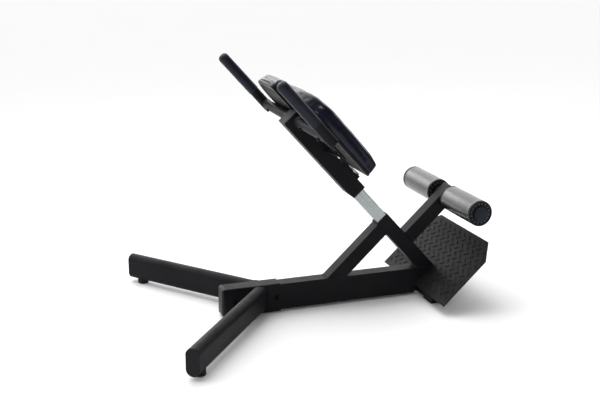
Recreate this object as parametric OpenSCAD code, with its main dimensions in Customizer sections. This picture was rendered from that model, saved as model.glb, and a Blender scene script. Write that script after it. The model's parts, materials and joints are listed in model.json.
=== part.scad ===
// Roman chair (45 degree back-extension bench): V-shaped front legs, slanted post with a
// sliding pad carriage, two handles, a pair of ankle rollers and a tread foot plate.
// X runs from the front legs to the foot plate, Y across the bench, Z up from the floor.

/* [Base] */
// Height of the base tube
base_h = 90; // [75:1:110]
// Width of the base tube
base_w = 50; // [40:1:60]
// Wall of the base tube
base_wall = 3; // [2:0.5:4]
// Gap between the floor and the base tube
floor_gap = 10; // [8:1:20]
// Distance from the post axis to the front mouth of the sleeve
sleeve_reach = 775; // [700:5:900]
// Length of the front sleeve
sleeve_len = 190; // [170:5:230]
// Wall of the front sleeve
sleeve_wall = 4; // [3:0.5:5]

/* [Front legs] */
// Angle of each leg from the bench's length
leg_angle = 52; // [45:1:60]
// Length of each leg along its centre line
leg_len = 545; // [450:5:650]
// Distance from the sleeve's front mouth to the leg's centre line at the sleeve's side
leg_setback = 116; // [90:1:130]
// Height of the flat-oval leg
leg_h = 90; // [80:1:96]
// Width of the flat-oval leg
leg_w = 45; // [38:1:50]
// Wall of the leg tube
leg_wall = 2.5; // [2:0.5:4]
// Diameter of the rubber feet
foot_d = 38; // [30:1:42]
// Distance from the leg's end to its foot
foot_inset = 46; // [30:1:80]

/* [Post and mast] */
// Angle of the post above the floor
post_angle = 48.2; // [44:0.1:52]
// Section of the post, brace and roller arm
post_w = 50; // [46:1:60]
// Wall of the post
post_wall = 4; // [3:0.5:5]
// Length of the post along its axis, from the base tube's middle
post_len = 320; // [280:5:380]
// Length of mast that stands out of the post
mast_out = 350; // [300:5:350]
// Wall of the mast
mast_wall = 2.5; // [2:0.5:4]
// Angle of the brace, roller arm and foot plate above the floor
brace_angle = 43; // [41:0.5:45]
// Distance from the post axis to the brace's front edge on the base tube
brace_reach = 415; // [380:5:450]

/* [Ankle rollers] */
// Height up the post at which the roller arm starts
arm_start = 168; // [150:1:180]
// Distance from the post axis to the roller axle
axle_reach = 226; // [200:1:250]
// Diameter of the rollers
roller_d = 88; // [80:1:100]
// Length of each roller
roller_len = 212; // [180:2:240]
// Gap between the two rollers
roller_gap = 92; // [80:1:110]
// Diameter of the axle
axle_d = 25; // [20:1:28]

/* [Foot plate] */
// Width of the foot plate
plate_w = 490; // [400:5:560]
// Length of the foot plate along its slope
plate_len = 271; // [240:1:300]
// Thickness of the foot plate
plate_t = 5; // [3:0.5:8]
// Cut of each upper corner across the plate
plate_cut_w = 69; // [40:1:90]
// Cut of each upper corner along the plate
plate_cut_len = 63; // [40:1:90]
// Height of the plate's lower edge above the floor
plate_low = 37; // [34:1:39]
// Width of the rear foot
rear_foot_w = 250; // [200:5:300]

/* [Carriage] */
// How much higher than the post the carriage tube is
carriage_over_h = 8; // [6:1:14]
// How much wider than the post the carriage tube is
carriage_over_w = 10; // [8:1:16]
// Wall of the carriage tube
carriage_wall = 4; // [3:0.5:4]
// Distance of the carriage's lower end above the post's top
carriage_gap = 135; // [120:1:160]
// Length of the carriage tube
carriage_len = 366; // [340:2:400]
// Running clearance between the bushes and the mast
slide_fit = 0.15; // [0.1:0.05:0.3]

/* [Handles] */
// Distance between the two handles' centre lines
handle_span = 644; // [580:2:700]
// Diameter of the handle tubes and cross tube
handle_d = 34; // [28:1:34]
// Length of each handle above the cross tube
handle_rise = 230; // [200:2:260]
// Diameter of the rubber grips
grip_d = 37; // [34:1:38]
// Length of each grip
grip_len = 174; // [120:2:180]

/* [Pads] */
// Length of each pad
pad_len = 338; // [260:2:340]
// Width of each pad
pad_w = 224; // [180:2:240]
// Thickness of each pad above its board
pad_t = 46; // [35:1:60]
// Gap between the two pads
pad_gap = 76; // [70:1:90]
// Thickness of each pad board
board_t = 9; // [8:1:15]
// Radius of each pad's outer upper corner
pad_corner = 100; // [60:1:110]

/* [Clamp lever] */
// Length of the clamp lever
lever_len = 56; // [45:1:60]
// Diameter of the clamp screw
screw_d = 10; // [8:1:12]

/* [Hidden] */
$fn = 48;

// colours
frame_paint = "#26262a";
mast_grey = "#9aa2a2";
vinyl = "#1b1c2c";
rubber = "#222328";
foam_grey = "#4a4b4e";
plastic = "#141416";
black_steel = "#1c1c1e";
zinc = "#b4b8ba";
plywood = "#3a3330";
hub_navy = "#20233a";
tread_grey = "#38393b";

// side signs: the right side faces -Y
LEFT = 1;
RIGHT = -1;

// running and assembly clearances
spin_fit = 0.3;
hole_fit = 0.5;
soft_gap = 0.4;
plug_fit = 0.5;
bolt_short = 1;
through = 1;
// size of the blocks that cut the slanted tubes to their neighbours' planes
space = 1000;

// base tube and sleeve
base_mid = floor_gap + base_h / 2;
base_top = floor_gap + base_h;
sleeve_h = base_h + 2 * sleeve_wall;
sleeve_w = base_w + 2 * sleeve_wall;
sleeve_front = -sleeve_reach;
sleeve_rear = sleeve_front + sleeve_len;
sleeve_cap_t = 13;
sleeve_cap_bevel = 6;
sleeve_plug = 22;
sleeve_bolt_d = 10;
sleeve_bolt_head = 18;
sleeve_bolt_head_h = 5;
sleeve_bolt_inset = 13;
sleeve_bolt_front = 29;
sleeve_bolt_xs = [sleeve_front + sleeve_bolt_front, sleeve_rear - sleeve_bolt_inset];
sleeve_nut_h = 8;

// legs
leg_root = [sleeve_front + leg_setback, sleeve_w / 2];
leg_lift = 3;
leg_mid = floor_gap + leg_lift + leg_h / 2;
leg_cap_t = 4;
leg_cap_bevel = 1.5;
leg_cap_plug = 18;
foot_h = leg_mid - leg_h / 2;
foot_screw_d = 8;
foot_screw_head = 15;
foot_screw_head_h = 3;
foot_screw_sink = 2;
foot_screw_grip = 8;
foot_bevel = 3;
// the foot's rim reaches a little way up the rounded underside of the leg
foot_rim = 1;
foot_top = foot_h + foot_rim + leg_w / 2 - sqrt(pow(leg_w / 2, 2) - pow(foot_d / 2, 2));

// post frame: x is the post's outward normal, z runs up its axis
mast_w = post_w - 2 * post_wall;
mast_gap = 3;
// the mast stands just clear of the base tube's top face
mast_root = base_h / 2 / sin(post_angle) + mast_w / 2 / tan(post_angle) + mast_gap;
mast_top = post_len + mast_out;
mast_plug_t = 3;
mast_plug_len = 15;

// foot plate plane through the lower edge of the tread face
plate_x = -83;
base_plate_gap = 1;
function tread_x(z) = plate_x + (z - plate_low) / tan(brace_angle);
base_rear = plate_x - base_plate_gap;

// roller arm: starts on the post's outer face at arm_start
arm_w = post_w;
arm_foot_x = -cos(post_angle) * arm_start + sin(post_angle) * post_w / 2;
arm_foot_z = base_mid + sin(post_angle) * arm_start + cos(post_angle) * post_w / 2;
// middle of the arm, half its width above its lower face
arm_x = arm_foot_x - sin(brace_angle) * arm_w / 2;
arm_z = arm_foot_z + cos(brace_angle) * arm_w / 2;
arm_seat = 1;
arm_overhang = 29;
arm_stock = 60;
brace_stock = 400;
arm_wall = 3;
arm_cap_t = 3;
arm_cap_plug = 12;
// distance of the axle from the arm's reference point
axle_at = axle_reach - post_w / 2 - arm_seat;
axle_x = arm_x + cos(brace_angle) * axle_at;
axle_z = arm_z + sin(brace_angle) * axle_at;
washer_t = (roller_gap - arm_w) / 2 - spin_fit;
washer_d = 40;
axle_fit = 0.1;
core_wall = 3.5;
cap_t = 4.5;
hub_d = 50;
hub_t = 8;
hub_plug_d = 38;
roller_in = roller_gap / 2;
roller_out = roller_in + roller_len;
axle_half = roller_out - 2 * cap_t;
axle_screw_d = 8;
axle_screw_head = 34;
axle_screw_head_t = 3;
core_bore = axle_d + 2 * axle_fit;
core_d = core_bore + 2 * core_wall;

// rear foot
rear_foot_x = -67;
rear_foot_d = 40;
rear_foot_z = 8;
rear_foot_h = 28;
rear_foot_wall = 2.5;
rear_cap_t = 3;
rear_cap_plug = 12;
rear_pad_len = 62;
link_w = 36;
link_h = 20;
link_lift = 4;
rib_y = 110;
rib_t = 5;
rib_depth = 25;
rib_low = 60;
rib_short = 31;
rib_len = plate_len - rib_low - rib_short;

// carriage, in the post frame
carriage_h = post_w + carriage_over_h;
carriage_w = post_w + carriage_over_w;
carriage_low = post_len + carriage_gap;
carriage_high = carriage_low + carriage_len;
carriage_cap_t = 3;
carriage_cap_plug = 8;
carriage_in_h = carriage_h - 2 * carriage_wall;
carriage_in_w = carriage_w - 2 * carriage_wall;
carriage_top = carriage_h / 2;
bush_low = carriage_low + 6;
bush_len = 70;
// cut at the carriage's lower inner corner
mouth_cut = 5;
mouth_cut_len = 27;
upper_bush_low = carriage_low + 118;
upper_bush_len = 40;
bush_hole = mast_w + 2 * slide_fit;
bush_screw_at = carriage_low + 21;
bush_screw_d = 5;
bush_screw_head = 8;
bush_screw_len = carriage_wall + 3.5;

// cross tube and handles, in the post frame
// the cross tube passes just under the carriage's top face
cross_sink = 1;
cross_n = carriage_top - handle_d / 2 - cross_sink;
cross_at = carriage_high - 26;
tube_wall = 2.5;
handle_low = cross_at - handle_d / 2;
handle_high = cross_at + handle_rise;
stub_len = 96;
collar_len = 24;
collar_step = 1;
cross_half = handle_span / 2 - collar_len;
stub_d = handle_d - 2 * tube_wall - 2 * slide_fit;
handle_bolt_inset = 42;
handle_bolt_y = cross_half - handle_bolt_inset;
pad_bolt_y = 92;
small_bolt_d = 8;
small_bolt_head = 13;
small_bolt_head_h = 5;
grip_round = 12;
grip_end_t = 10;
grip_low = handle_high + grip_end_t - grip_len;

// pads and their boards, in the post frame
pad_low = carriage_low + 129;
pad_in = pad_gap / 2;
pad_out = pad_in + pad_w;
board_inset = 1;
pad_small_corner = 12;
pad_base = carriage_top + board_t + soft_gap;
wing_low = pad_low + 52;
wing_len = 64;
wing_t = 5;
wing_out = 150;
web_t = 5;
web_inset = 14;
web_depth = 16;
pad_screw_d = 6;
pad_screw_head = 11;
pad_screw_head_h = 3.5;
pad_screw_ys = [62, 132];

// clamp lever, in the post frame
lever_at = carriage_low + 97;
block_low = carriage_low + 38;
block_len = 82;
block_w = 44;
block_t = 8;
block_stop_len = 13;
block_stop_t = 4;
hub_low = carriage_top + block_t + soft_gap;
lever_hub_d = 24;
lever_hub_t = 14;
lever_root_r = 5;
lever_tip_r = 7;
lever_t = 8;
lever_lift = 5;
lever_cover = 3;
shoe_d = 16;
shoe_t = 3;
shoe_low = mast_w / 2 + spin_fit;

// shift that puts the middle of the whole length at x = 0
leg_end_x = leg_root[0] - leg_len * cos(leg_angle);
x_min = leg_end_x - (leg_cap_t - leg_cap_bevel) * cos(leg_angle) - leg_w / 2 * sin(leg_angle);
x_max = plate_x + plate_len * cos(brace_angle) + plate_t * sin(brace_angle);
shift_x = -(x_min + x_max) / 2;

// ---- placement helpers ----

module bench() translate([shift_x, 0, 0]) children();

module on_post() bench() translate([0, 0, base_mid]) rotate([0, post_angle - 90, 0]) children();

module on_arm() bench() translate([arm_x, 0, arm_z]) rotate([0, 90 - brace_angle, 0]) children();

module on_plate() bench() translate([plate_x, 0, plate_low]) rotate([0, 90 - brace_angle, 0]) children();

// x along the leg towards its free end, z up, y across it
module on_leg(side) bench()
    translate([leg_root[0], side * leg_root[1], leg_mid])
    rotate([0, 0, side * (180 - leg_angle)])
    children();

// a cylinder along Y between two values of y
module across(y_from, y_to, d) translate([0, y_from, 0]) rotate([-90, 0, 0])
    cylinder(h = y_to - y_from, d = d);

module box_tube_outline(w, h, r) {
    translate([-w / 2 + r, -h / 2]) square([w - 2 * r, h]);
    translate([-w / 2, -h / 2 + r]) square([w, h - 2 * r]);
    for (x = [-1, 1]) for (y = [-1, 1]) translate([x * (w / 2 - r), y * (h / 2 - r)]) circle(r);
}

// a straight box tube along z with rounded corners
module box_tube(w, h, wall, len) {
    corner = wall;
    linear_extrude(len) difference() {
        box_tube_outline(w, h, corner);
        square([w - 2 * wall, h - 2 * wall], center = true);
    }
}

// a solid box bar along z with rounded corners
module box_bar(w, h, corner, len) linear_extrude(len) box_tube_outline(w, h, corner);

// a closed plug whose flange covers the mouth of a box tube; the flange points to +z
module box_cap(w, h, wall, flange, plug, bevel) {
    box_bar(w, h, wall, flange - bevel);
    translate([0, 0, flange - bevel]) box_bar(w - bevel, h - bevel, wall, bevel);
    translate([0, 0, -plug])
        box_bar(w - 2 * (wall + plug_fit), h - 2 * (wall + plug_fit), 2 * plug_fit, plug);
}

module oval_outline(w, h) {
    square([w, h - w], center = true);
    for (y = [-1, 1]) translate([0, y * (h - w) / 2]) circle(w / 2);
}

// a button-head bolt along +z, head at z < 0, with a hexagon socket
module button_bolt(d, head_d, head_h, len) {
    difference() {
        translate([0, 0, -head_h]) cylinder(h = head_h, d1 = head_d * 0.78, d2 = head_d);
        translate([0, 0, -head_h - 1]) cylinder(h = head_h * 0.6 + 1, d = d * 0.62, $fn = 6);
    }
    cylinder(h = len, d = d);
}

// ---- base and front legs ----

module base_profile(inset) polygon([
    [sleeve_front + sleeve_plug, floor_gap + inset],
    [base_rear, floor_gap + inset],
    [base_rear, plate_low - base_plate_gap * tan(brace_angle)],
    [tread_x(base_top - inset), base_top - inset],
    [sleeve_front + sleeve_plug, base_top - inset]
]);

module base_tube() color(frame_paint) bench() difference() {
    rotate([90, 0, 0]) linear_extrude(base_w, center = true) base_profile(0);
    rotate([90, 0, 0]) linear_extrude(base_w - 2 * base_wall, center = true) polygon([
        [sleeve_front, floor_gap + base_wall],
        [0, floor_gap + base_wall],
        [0, base_top - base_wall],
        [sleeve_front, base_top - base_wall]
    ]);
    sleeve_bolt_holes();
}

module sleeve_bolt_holes()
    for (x = sleeve_bolt_xs) translate([x, 0, base_mid])
        across(-sleeve_w, sleeve_w, sleeve_bolt_d + 2 * hole_fit);

module front_sleeve() color(frame_paint) bench() difference() {
    translate([sleeve_front, 0, base_mid]) rotate([0, 90, 0])
        box_tube(sleeve_h, sleeve_w, sleeve_wall, sleeve_len);
    sleeve_bolt_holes();
}

module sleeve_cap() color(plastic) bench()
    translate([sleeve_front, 0, base_mid]) rotate([0, -90, 0])
    box_cap(sleeve_h, sleeve_w, sleeve_wall, sleeve_cap_t, sleeve_plug - 2, sleeve_cap_bevel);

module sleeve_bolts() color(black_steel) bench()
    for (x = sleeve_bolt_xs) translate([x, -sleeve_w / 2, base_mid]) rotate([-90, 0, 0])
        button_bolt(sleeve_bolt_d, sleeve_bolt_head, sleeve_bolt_head_h, sleeve_w + sleeve_nut_h + 3);

module sleeve_nuts() color(black_steel) bench()
    for (x = sleeve_bolt_xs) translate([x, sleeve_w / 2, base_mid]) rotate([-90, 0, 0]) difference() {
        cylinder(h = sleeve_nut_h, d = sleeve_bolt_d * 1.9, $fn = 6);
        translate([0, 0, -1]) cylinder(h = sleeve_nut_h + 2, d = sleeve_bolt_d);
    }

// the leg is cut square at its free end and flush with the sleeve's side at its root
module leg(side) color(frame_paint) difference() {
    on_leg(side) rotate([90, 0, 90]) translate([0, 0, -leg_w]) linear_extrude(leg_len + leg_w) difference() {
        oval_outline(leg_w, leg_h);
        oval_outline(leg_w - 2 * leg_wall, leg_h - 2 * leg_wall);
    }
    bench() translate([leg_root[0], 0, leg_mid]) cube([4 * leg_w, sleeve_w, 2 * leg_h], center = true);
    bench() translate([leg_root[0] - 2 * leg_w, side > 0 ? -2 * leg_h : 0, 0])
        cube([4 * leg_w, 2 * leg_h, 2 * leg_h]);
    on_leg(side) translate([leg_len - foot_inset, 0, -leg_h])
        cylinder(h = leg_h, d = foot_screw_d + 2 * hole_fit);
}

module left_leg() leg(LEFT);

module right_leg() leg(RIGHT);

module leg_caps() color(plastic) for (side = [LEFT, RIGHT]) on_leg(side) rotate([90, 0, 90]) {
    translate([0, 0, leg_len]) linear_extrude(leg_cap_t - leg_cap_bevel) oval_outline(leg_w, leg_h);
    translate([0, 0, leg_len + leg_cap_t - leg_cap_bevel]) linear_extrude(leg_cap_bevel)
        oval_outline(leg_w - 2 * leg_cap_bevel, leg_h - 2 * leg_cap_bevel);
    translate([0, 0, leg_len - leg_cap_plug]) linear_extrude(leg_cap_plug)
        oval_outline(leg_w - 2 * (leg_wall + plug_fit), leg_h - 2 * (leg_wall + plug_fit));
}

// rubber feet, hollowed to the leg's rounded underside
module front_feet() color(rubber) for (side = [LEFT, RIGHT]) difference() {
    on_leg(side) translate([leg_len - foot_inset, 0, -leg_mid]) {
        cylinder(h = foot_bevel, d1 = foot_d - foot_bevel, d2 = foot_d);
        translate([0, 0, foot_bevel]) cylinder(h = foot_top - foot_bevel, d = foot_d);
    }
    on_leg(side) translate([0, 0, -(leg_h - leg_w) / 2]) rotate([0, 90, 0]) cylinder(h = leg_len, d = leg_w);
    on_leg(side) translate([leg_len - foot_inset, 0, -leg_mid]) {
        translate([0, 0, -through])
            cylinder(h = through + foot_screw_sink + foot_screw_head_h, d = foot_screw_head + 2 * hole_fit);
        cylinder(h = foot_h + leg_h, d = foot_screw_d + 2 * hole_fit);
    }
}

module foot_screws() color(black_steel) for (side = [LEFT, RIGHT])
    on_leg(side) translate([leg_len - foot_inset, 0, -leg_mid + foot_screw_sink]) {
        cylinder(h = foot_screw_head_h, d = foot_screw_head);
        cylinder(h = foot_h + leg_wall + foot_screw_grip, d = foot_screw_d);
    }

// ---- post, brace, mast ----

module above_base() translate([-space, -space / 2, base_top]) cube(space);

// everything on the upper side of the tread face
module above_plate() translate([plate_x, 0, plate_low]) rotate([0, 90 - brace_angle, 0])
    translate([-space, -space / 2, -space / 2]) cube(space);

module post() color(frame_paint) intersection() {
    on_post() box_tube(post_w, post_w, post_wall, post_len);
    bench() above_base();
    bench() above_plate();
}

// the brace runs from the base tube's top to the post's inner face
module brace() color(frame_paint) intersection() {
    bench() translate([-brace_reach, 0, base_top]) rotate([0, 90 - brace_angle, 0])
        translate([post_w / 2, 0, -post_w]) box_tube(post_w, post_w, arm_wall, brace_stock);
    bench() above_base();
    on_post() translate([-post_w / 2 - space, -space / 2, 0]) cube([space, space, post_len]);
}

module mast() color(mast_grey) on_post() translate([0, 0, mast_root])
    box_tube(mast_w, mast_w, mast_wall, mast_top - mast_root);

module mast_plug() color(plastic) on_post() translate([0, 0, mast_top])
    box_cap(mast_w, mast_w, mast_wall, mast_plug_t, mast_plug_len, 1);

// ---- roller arm and ankle rollers ----

module roller_arm() color(frame_paint) difference() {
    intersection() {
        on_arm() translate([0, 0, -arm_stock])
            box_tube(arm_w, arm_w, arm_wall, arm_stock + axle_at + arm_overhang);
        on_post() translate([post_w / 2, -space / 2, 0]) cube(space);
    }
    on_arm() translate([0, 0, axle_at]) across(-arm_w, arm_w, axle_d);
}

module arm_cap() color(plastic) on_arm() translate([0, 0, axle_at + arm_overhang])
    box_cap(arm_w, arm_w, arm_wall, arm_cap_t, arm_cap_plug, 1);

module at_axle() bench() translate([axle_x, 0, axle_z]) children();

module roller_axle() color(mast_grey) at_axle() difference() {
    across(-axle_half, axle_half, axle_d);
    for (side = [LEFT, RIGHT]) rotate([-90 * side, 0, 0]) translate([0, 0, axle_half - 30])
        cylinder(h = 31, d = axle_screw_d);
}

module axle_washers() color(plastic) at_axle() for (side = [LEFT, RIGHT]) rotate([-90 * side, 0, 0])
    translate([0, 0, arm_w / 2]) difference() {
        cylinder(h = washer_t, d = washer_d);
        translate([0, 0, -1]) cylinder(h = washer_t + 2, d = axle_d);
    }

module axle_screws() color(zinc) at_axle() for (side = [LEFT, RIGHT]) rotate([-90 * side, 0, 0]) {
    translate([0, 0, axle_half]) cylinder(h = axle_screw_head_t, d = axle_screw_head);
    translate([0, 0, axle_half - 25]) cylinder(h = 25, d = axle_screw_d);
}

// roller parts are drawn along +z from the arm's middle and turned to their side
module on_roller(side) at_axle() rotate([-90 * side, 0, 0]) children();

module roller(side) color(foam_grey) on_roller(side) translate([0, 0, roller_in + cap_t]) difference() {
    cylinder(h = roller_len - 2 * cap_t, d = roller_d, $fn = 96);
    translate([0, 0, -1]) cylinder(h = roller_len, d = core_d);
    translate([0, 0, roller_len - 3 * cap_t - 1]) cylinder(h = roller_len, d = axle_screw_head + 2);
}

module roller_core(side) color(plastic) on_roller(side) translate([0, 0, roller_in]) difference() {
    cylinder(h = roller_len - 2 * cap_t - spin_fit, d = core_d);
    translate([0, 0, -1]) cylinder(h = roller_len, d = core_bore);
}

// ribbed end cap: a rim and a hub ring joined by spokes
module ribbed_cap(bore) {
    rim_t = 5;
    cap_d = roller_d - 2;
    ring_d = hub_d + 6;
    spoke_t = 3;
    spoke_count = 16;
    spoke_len = (cap_d - ring_d) / 2 - rim_t + 2;
    difference() {
        cylinder(h = cap_t, d = cap_d, $fn = 96);
        translate([0, 0, -1]) cylinder(h = cap_t + 2, d = cap_d - 2 * rim_t, $fn = 96);
    }
    difference() {
        cylinder(h = cap_t, d = ring_d);
        translate([0, 0, -1]) cylinder(h = cap_t + 2, d = bore);
    }
    for (k = [1 : spoke_count]) rotate([0, 0, k * 360 / spoke_count])
        translate([ring_d / 2 - 1, -spoke_t / 2, 0]) cube([spoke_len, spoke_t, cap_t]);
}

module roller_caps(side) color(plastic) on_roller(side) {
    translate([0, 0, roller_in]) ribbed_cap(core_d);
    translate([0, 0, roller_out - cap_t]) ribbed_cap(hub_plug_d);
}

// round hub cover over the axle's end
module hub(side) color(hub_navy) on_roller(side) translate([0, 0, roller_out - cap_t]) {
    cylinder(h = cap_t, d = hub_plug_d);
    translate([0, 0, cap_t]) cylinder(h = hub_t - 2, d = hub_d);
    translate([0, 0, cap_t + hub_t - 2]) cylinder(h = 2, d1 = hub_d, d2 = hub_d - 4);
}

module left_roller() roller(LEFT);

module right_roller() roller(RIGHT);

module left_roller_core() roller_core(LEFT);

module right_roller_core() roller_core(RIGHT);

module left_roller_caps() roller_caps(LEFT);

module right_roller_caps() roller_caps(RIGHT);

module left_hub() hub(LEFT);

module right_hub() hub(RIGHT);

// ---- foot plate and rear foot ----

// x across the plate's outline, y up its slope
module plate_outline() polygon([
    [-plate_w / 2, 0],
    [plate_w / 2, 0],
    [plate_w / 2, plate_len - plate_cut_len],
    [plate_w / 2 - plate_cut_w, plate_len],
    [-plate_w / 2 + plate_cut_w, plate_len],
    [-plate_w / 2, plate_len - plate_cut_len]
]);

module foot_plate() color(tread_grey) on_plate() rotate([90, 0, 90]) linear_extrude(plate_t) plate_outline();

module plate_ribs() color(frame_paint) on_plate() for (side = [LEFT, RIGHT])
    translate([plate_t, side * rib_y - rib_t / 2, rib_low]) cube([rib_depth, rib_t, rib_len]);

module rear_foot_section(inset) translate([rear_foot_x + inset, rear_foot_z + inset])
    square([rear_foot_d - 2 * inset, rear_foot_h - 2 * inset]);

module rear_foot() color(frame_paint) bench() rotate([90, 0, 0])
    linear_extrude(rear_foot_w, center = true) difference() {
        rear_foot_section(0);
        rear_foot_section(rear_foot_wall);
    }

module rear_foot_link() color(frame_paint) bench()
    translate([base_rear, -link_w / 2, rear_foot_z + link_lift])
    cube([rear_foot_x - base_rear, link_w, link_h]);

module rear_foot_caps() color(plastic) bench() for (side = [LEFT, RIGHT])
    translate([0, side * rear_foot_w / 2, 0]) rotate([90, 0, 0]) {
        translate([0, 0, side > 0 ? -rear_cap_t : 0]) linear_extrude(rear_cap_t) rear_foot_section(plug_fit);
        translate([0, 0, side > 0 ? 0 : -rear_cap_plug]) linear_extrude(rear_cap_plug)
            rear_foot_section(rear_foot_wall + plug_fit);
    }

module rear_foot_pads() color(rubber) bench() for (side = [LEFT, RIGHT])
    translate([rear_foot_x, side > 0 ? rear_foot_w / 2 - rear_pad_len : -rear_foot_w / 2, 0])
        cube([rear_foot_d, rear_pad_len, rear_foot_z]);

// ---- carriage ----

module at_cross() translate([cross_n, 0, cross_at]) children();

module bush_screw_holes(d) for (side = [LEFT, RIGHT]) translate([0, side * carriage_w / 2, bush_screw_at])
    rotate([90 * side, 0, 0]) translate([0, 0, -1]) cylinder(h = bush_screw_len + 1, d = d);

module carriage_tube() color(frame_paint) on_post() difference() {
    translate([0, 0, carriage_low]) box_tube(carriage_h, carriage_w, carriage_wall, carriage_len);
    rotate([90, 0, 0]) linear_extrude(2 * carriage_w, center = true) polygon([
        [-carriage_top - 1, carriage_low - 1],
        [-carriage_top + mouth_cut, carriage_low - 1],
        [-carriage_top + mouth_cut, carriage_low],
        [-carriage_top, carriage_low + mouth_cut_len],
        [-carriage_top - 1, carriage_low + mouth_cut_len]
    ]);
    at_cross() across(-carriage_w, carriage_w, handle_d);
    translate([0, 0, lever_at]) rotate([0, 90, 0]) cylinder(h = carriage_h, d = screw_d + 2 * hole_fit);
    bush_screw_holes(bush_screw_head);
}

module carriage_cap() color(plastic) on_post() translate([0, 0, carriage_high])
    box_cap(carriage_h, carriage_w, carriage_wall, carriage_cap_t, carriage_cap_plug, 1);

// plastic bush between the carriage's inside and the mast
module bush(low, len) difference() {
    translate([-carriage_in_h / 2, -carriage_in_w / 2, low]) cube([carriage_in_h, carriage_in_w, len]);
    translate([-bush_hole / 2, -bush_hole / 2, low - 1]) cube([bush_hole, bush_hole, len + 2]);
}

module lower_bush() color(plastic) on_post() difference() {
    bush(bush_low, bush_len);
    bush_screw_holes(bush_screw_d);
}

module upper_bush() color(plastic) on_post() bush(upper_bush_low, upper_bush_len);

module bush_screws() color(black_steel) on_post() for (side = [LEFT, RIGHT])
    translate([0, side * carriage_w / 2, bush_screw_at]) rotate([90 * side, 0, 0]) {
        cylinder(h = carriage_wall, d = bush_screw_head);
        cylinder(h = bush_screw_len, d = bush_screw_d);
    }

// ---- cross tube and handles ----

module cross_bolt_holes(ys, d) at_cross() for (y = ys) for (side = [LEFT, RIGHT])
    translate([-handle_d, side * y, 0]) rotate([0, 90, 0]) cylinder(h = 2 * handle_d, d = d);

module cross_tube() color(frame_paint) on_post() difference() {
    at_cross() across(-cross_half, cross_half, handle_d);
    at_cross() across(-handle_span, handle_span, handle_d - 2 * tube_wall);
    cross_bolt_holes([handle_bolt_y, pad_bolt_y], small_bolt_d + 2 * hole_fit);
}

// a rod along Y from the handle's axis inwards
module inward(side, len, d) translate([0, side * handle_span / 2, 0])
    rotate([90 * side, 0, 0]) cylinder(h = len, d = d);

// upright tube with a collar and a stub that plugs into the end of the cross tube
module handle(side) color(frame_paint) on_post() difference() {
    union() {
        translate([cross_n, side * handle_span / 2, handle_low])
            cylinder(h = handle_high - handle_low, d = handle_d);
        at_cross() inward(side, collar_len, handle_d - collar_step);
        at_cross() inward(side, stub_len, stub_d);
    }
    translate([cross_n, side * handle_span / 2, handle_low + handle_d])
        cylinder(h = handle_high, d = handle_d - 2 * tube_wall);
    cross_bolt_holes([handle_bolt_y], small_bolt_d + 2 * hole_fit);
}

module left_handle() handle(LEFT);

module right_handle() handle(RIGHT);

// bolts that point from the cross tube's underside towards the pads
module cross_bolts(y, len) on_post() at_cross() for (side = [LEFT, RIGHT])
    translate([-handle_d / 2, side * y, 0]) rotate([0, 90, 0])
        button_bolt(small_bolt_d, small_bolt_head, small_bolt_head_h, len);

module handle_bolts() color(black_steel) cross_bolts(handle_bolt_y, handle_d - bolt_short);

module pad_bolts() color(black_steel) 
    cross_bolts(pad_bolt_y, handle_d + cross_sink + board_t - bolt_short);

// rubber sleeve with a closed round end
module grip(side) color(rubber) on_post() translate([cross_n, side * handle_span / 2, 0]) difference() {
    rotate_extrude($fn = 64) {
        translate([0, grip_low]) square([grip_d / 2, grip_len - grip_round]);
        translate([0, grip_low + grip_len - grip_round]) square([grip_d / 2 - grip_round, grip_round]);
        translate([grip_d / 2 - grip_round, grip_low + grip_len - grip_round]) intersection() {
            circle(grip_round);
            square(grip_round);
        }
    }
    translate([0, 0, grip_low - 1]) cylinder(h = handle_high - grip_low + 1, d = handle_d);
}

module left_grip() grip(LEFT);

module right_grip() grip(RIGHT);

// ---- pads ----

// corner piece that is taken off a square corner to round it; q turns it to its quadrant
module corner_cut(r, q) rotate(q * 90) difference() {
    translate([-r, -r]) square(r + 1);
    translate([-r, -r]) circle(r);
}

// outline of the left pad: x from the middle outwards, y up the post
module pad_outline(inset) {
    x0 = pad_in + inset;
    x1 = pad_out - inset;
    y0 = pad_low + inset;
    y1 = pad_low + pad_len - inset;
    difference() {
        translate([x0, y0]) square([x1 - x0, y1 - y0]);
        translate([x1, y1]) corner_cut(pad_corner - inset, 0);
        translate([x0, y1]) corner_cut(pad_small_corner, 1);
        translate([x0, y0]) corner_cut(pad_small_corner, 2);
        translate([x1, y0]) corner_cut(pad_small_corner, 3);
    }
}

// extrudes the left outline away from the post, mirrored for the right side
module pad_slab(side, base, t, inset) mirror([0, side > 0 ? 0 : 1, 0])
    translate([base, 0, 0]) rotate([90, 0, 90]) linear_extrude(t) pad_outline(inset);

module board(side) color(plywood) on_post() difference() {
    pad_slab(side, carriage_top, board_t, board_inset);
    cross_bolt_holes([pad_bolt_y], small_bolt_d);
    wing_screw_holes(side, pad_screw_d);
}

module left_board() board(LEFT);

module right_board() board(RIGHT);

module pad(side) color(vinyl) on_post() pad_slab(side, pad_base, pad_t, 0);

module left_pad() pad(LEFT);

module right_pad() pad(RIGHT);

module wing_screw_holes(side, d) for (y = pad_screw_ys)
    translate([carriage_top - wing_t - 1, side * y, wing_low + wing_len / 2]) rotate([0, 90, 0])
        cylinder(h = wing_t + board_t, d = d);

// bracket under each pad: a flat plate with a tapered web below it
module wing(side) color(frame_paint) on_post() difference() {
    mirror([0, side > 0 ? 0 : 1, 0]) union() {
        translate([carriage_top - wing_t, carriage_w / 2, wing_low])
            cube([wing_t, wing_out - carriage_w / 2, wing_len]);
        translate([0, 0, wing_low + web_inset]) linear_extrude(web_t) polygon([
            [carriage_top - wing_t, carriage_w / 2],
            [carriage_top - wing_t, wing_out],
            [carriage_top - 2 * wing_t, wing_out],
            [carriage_top - wing_t - web_depth, carriage_w / 2]
        ]);
    }
    wing_screw_holes(side, pad_screw_d + 2 * hole_fit);
}

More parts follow.
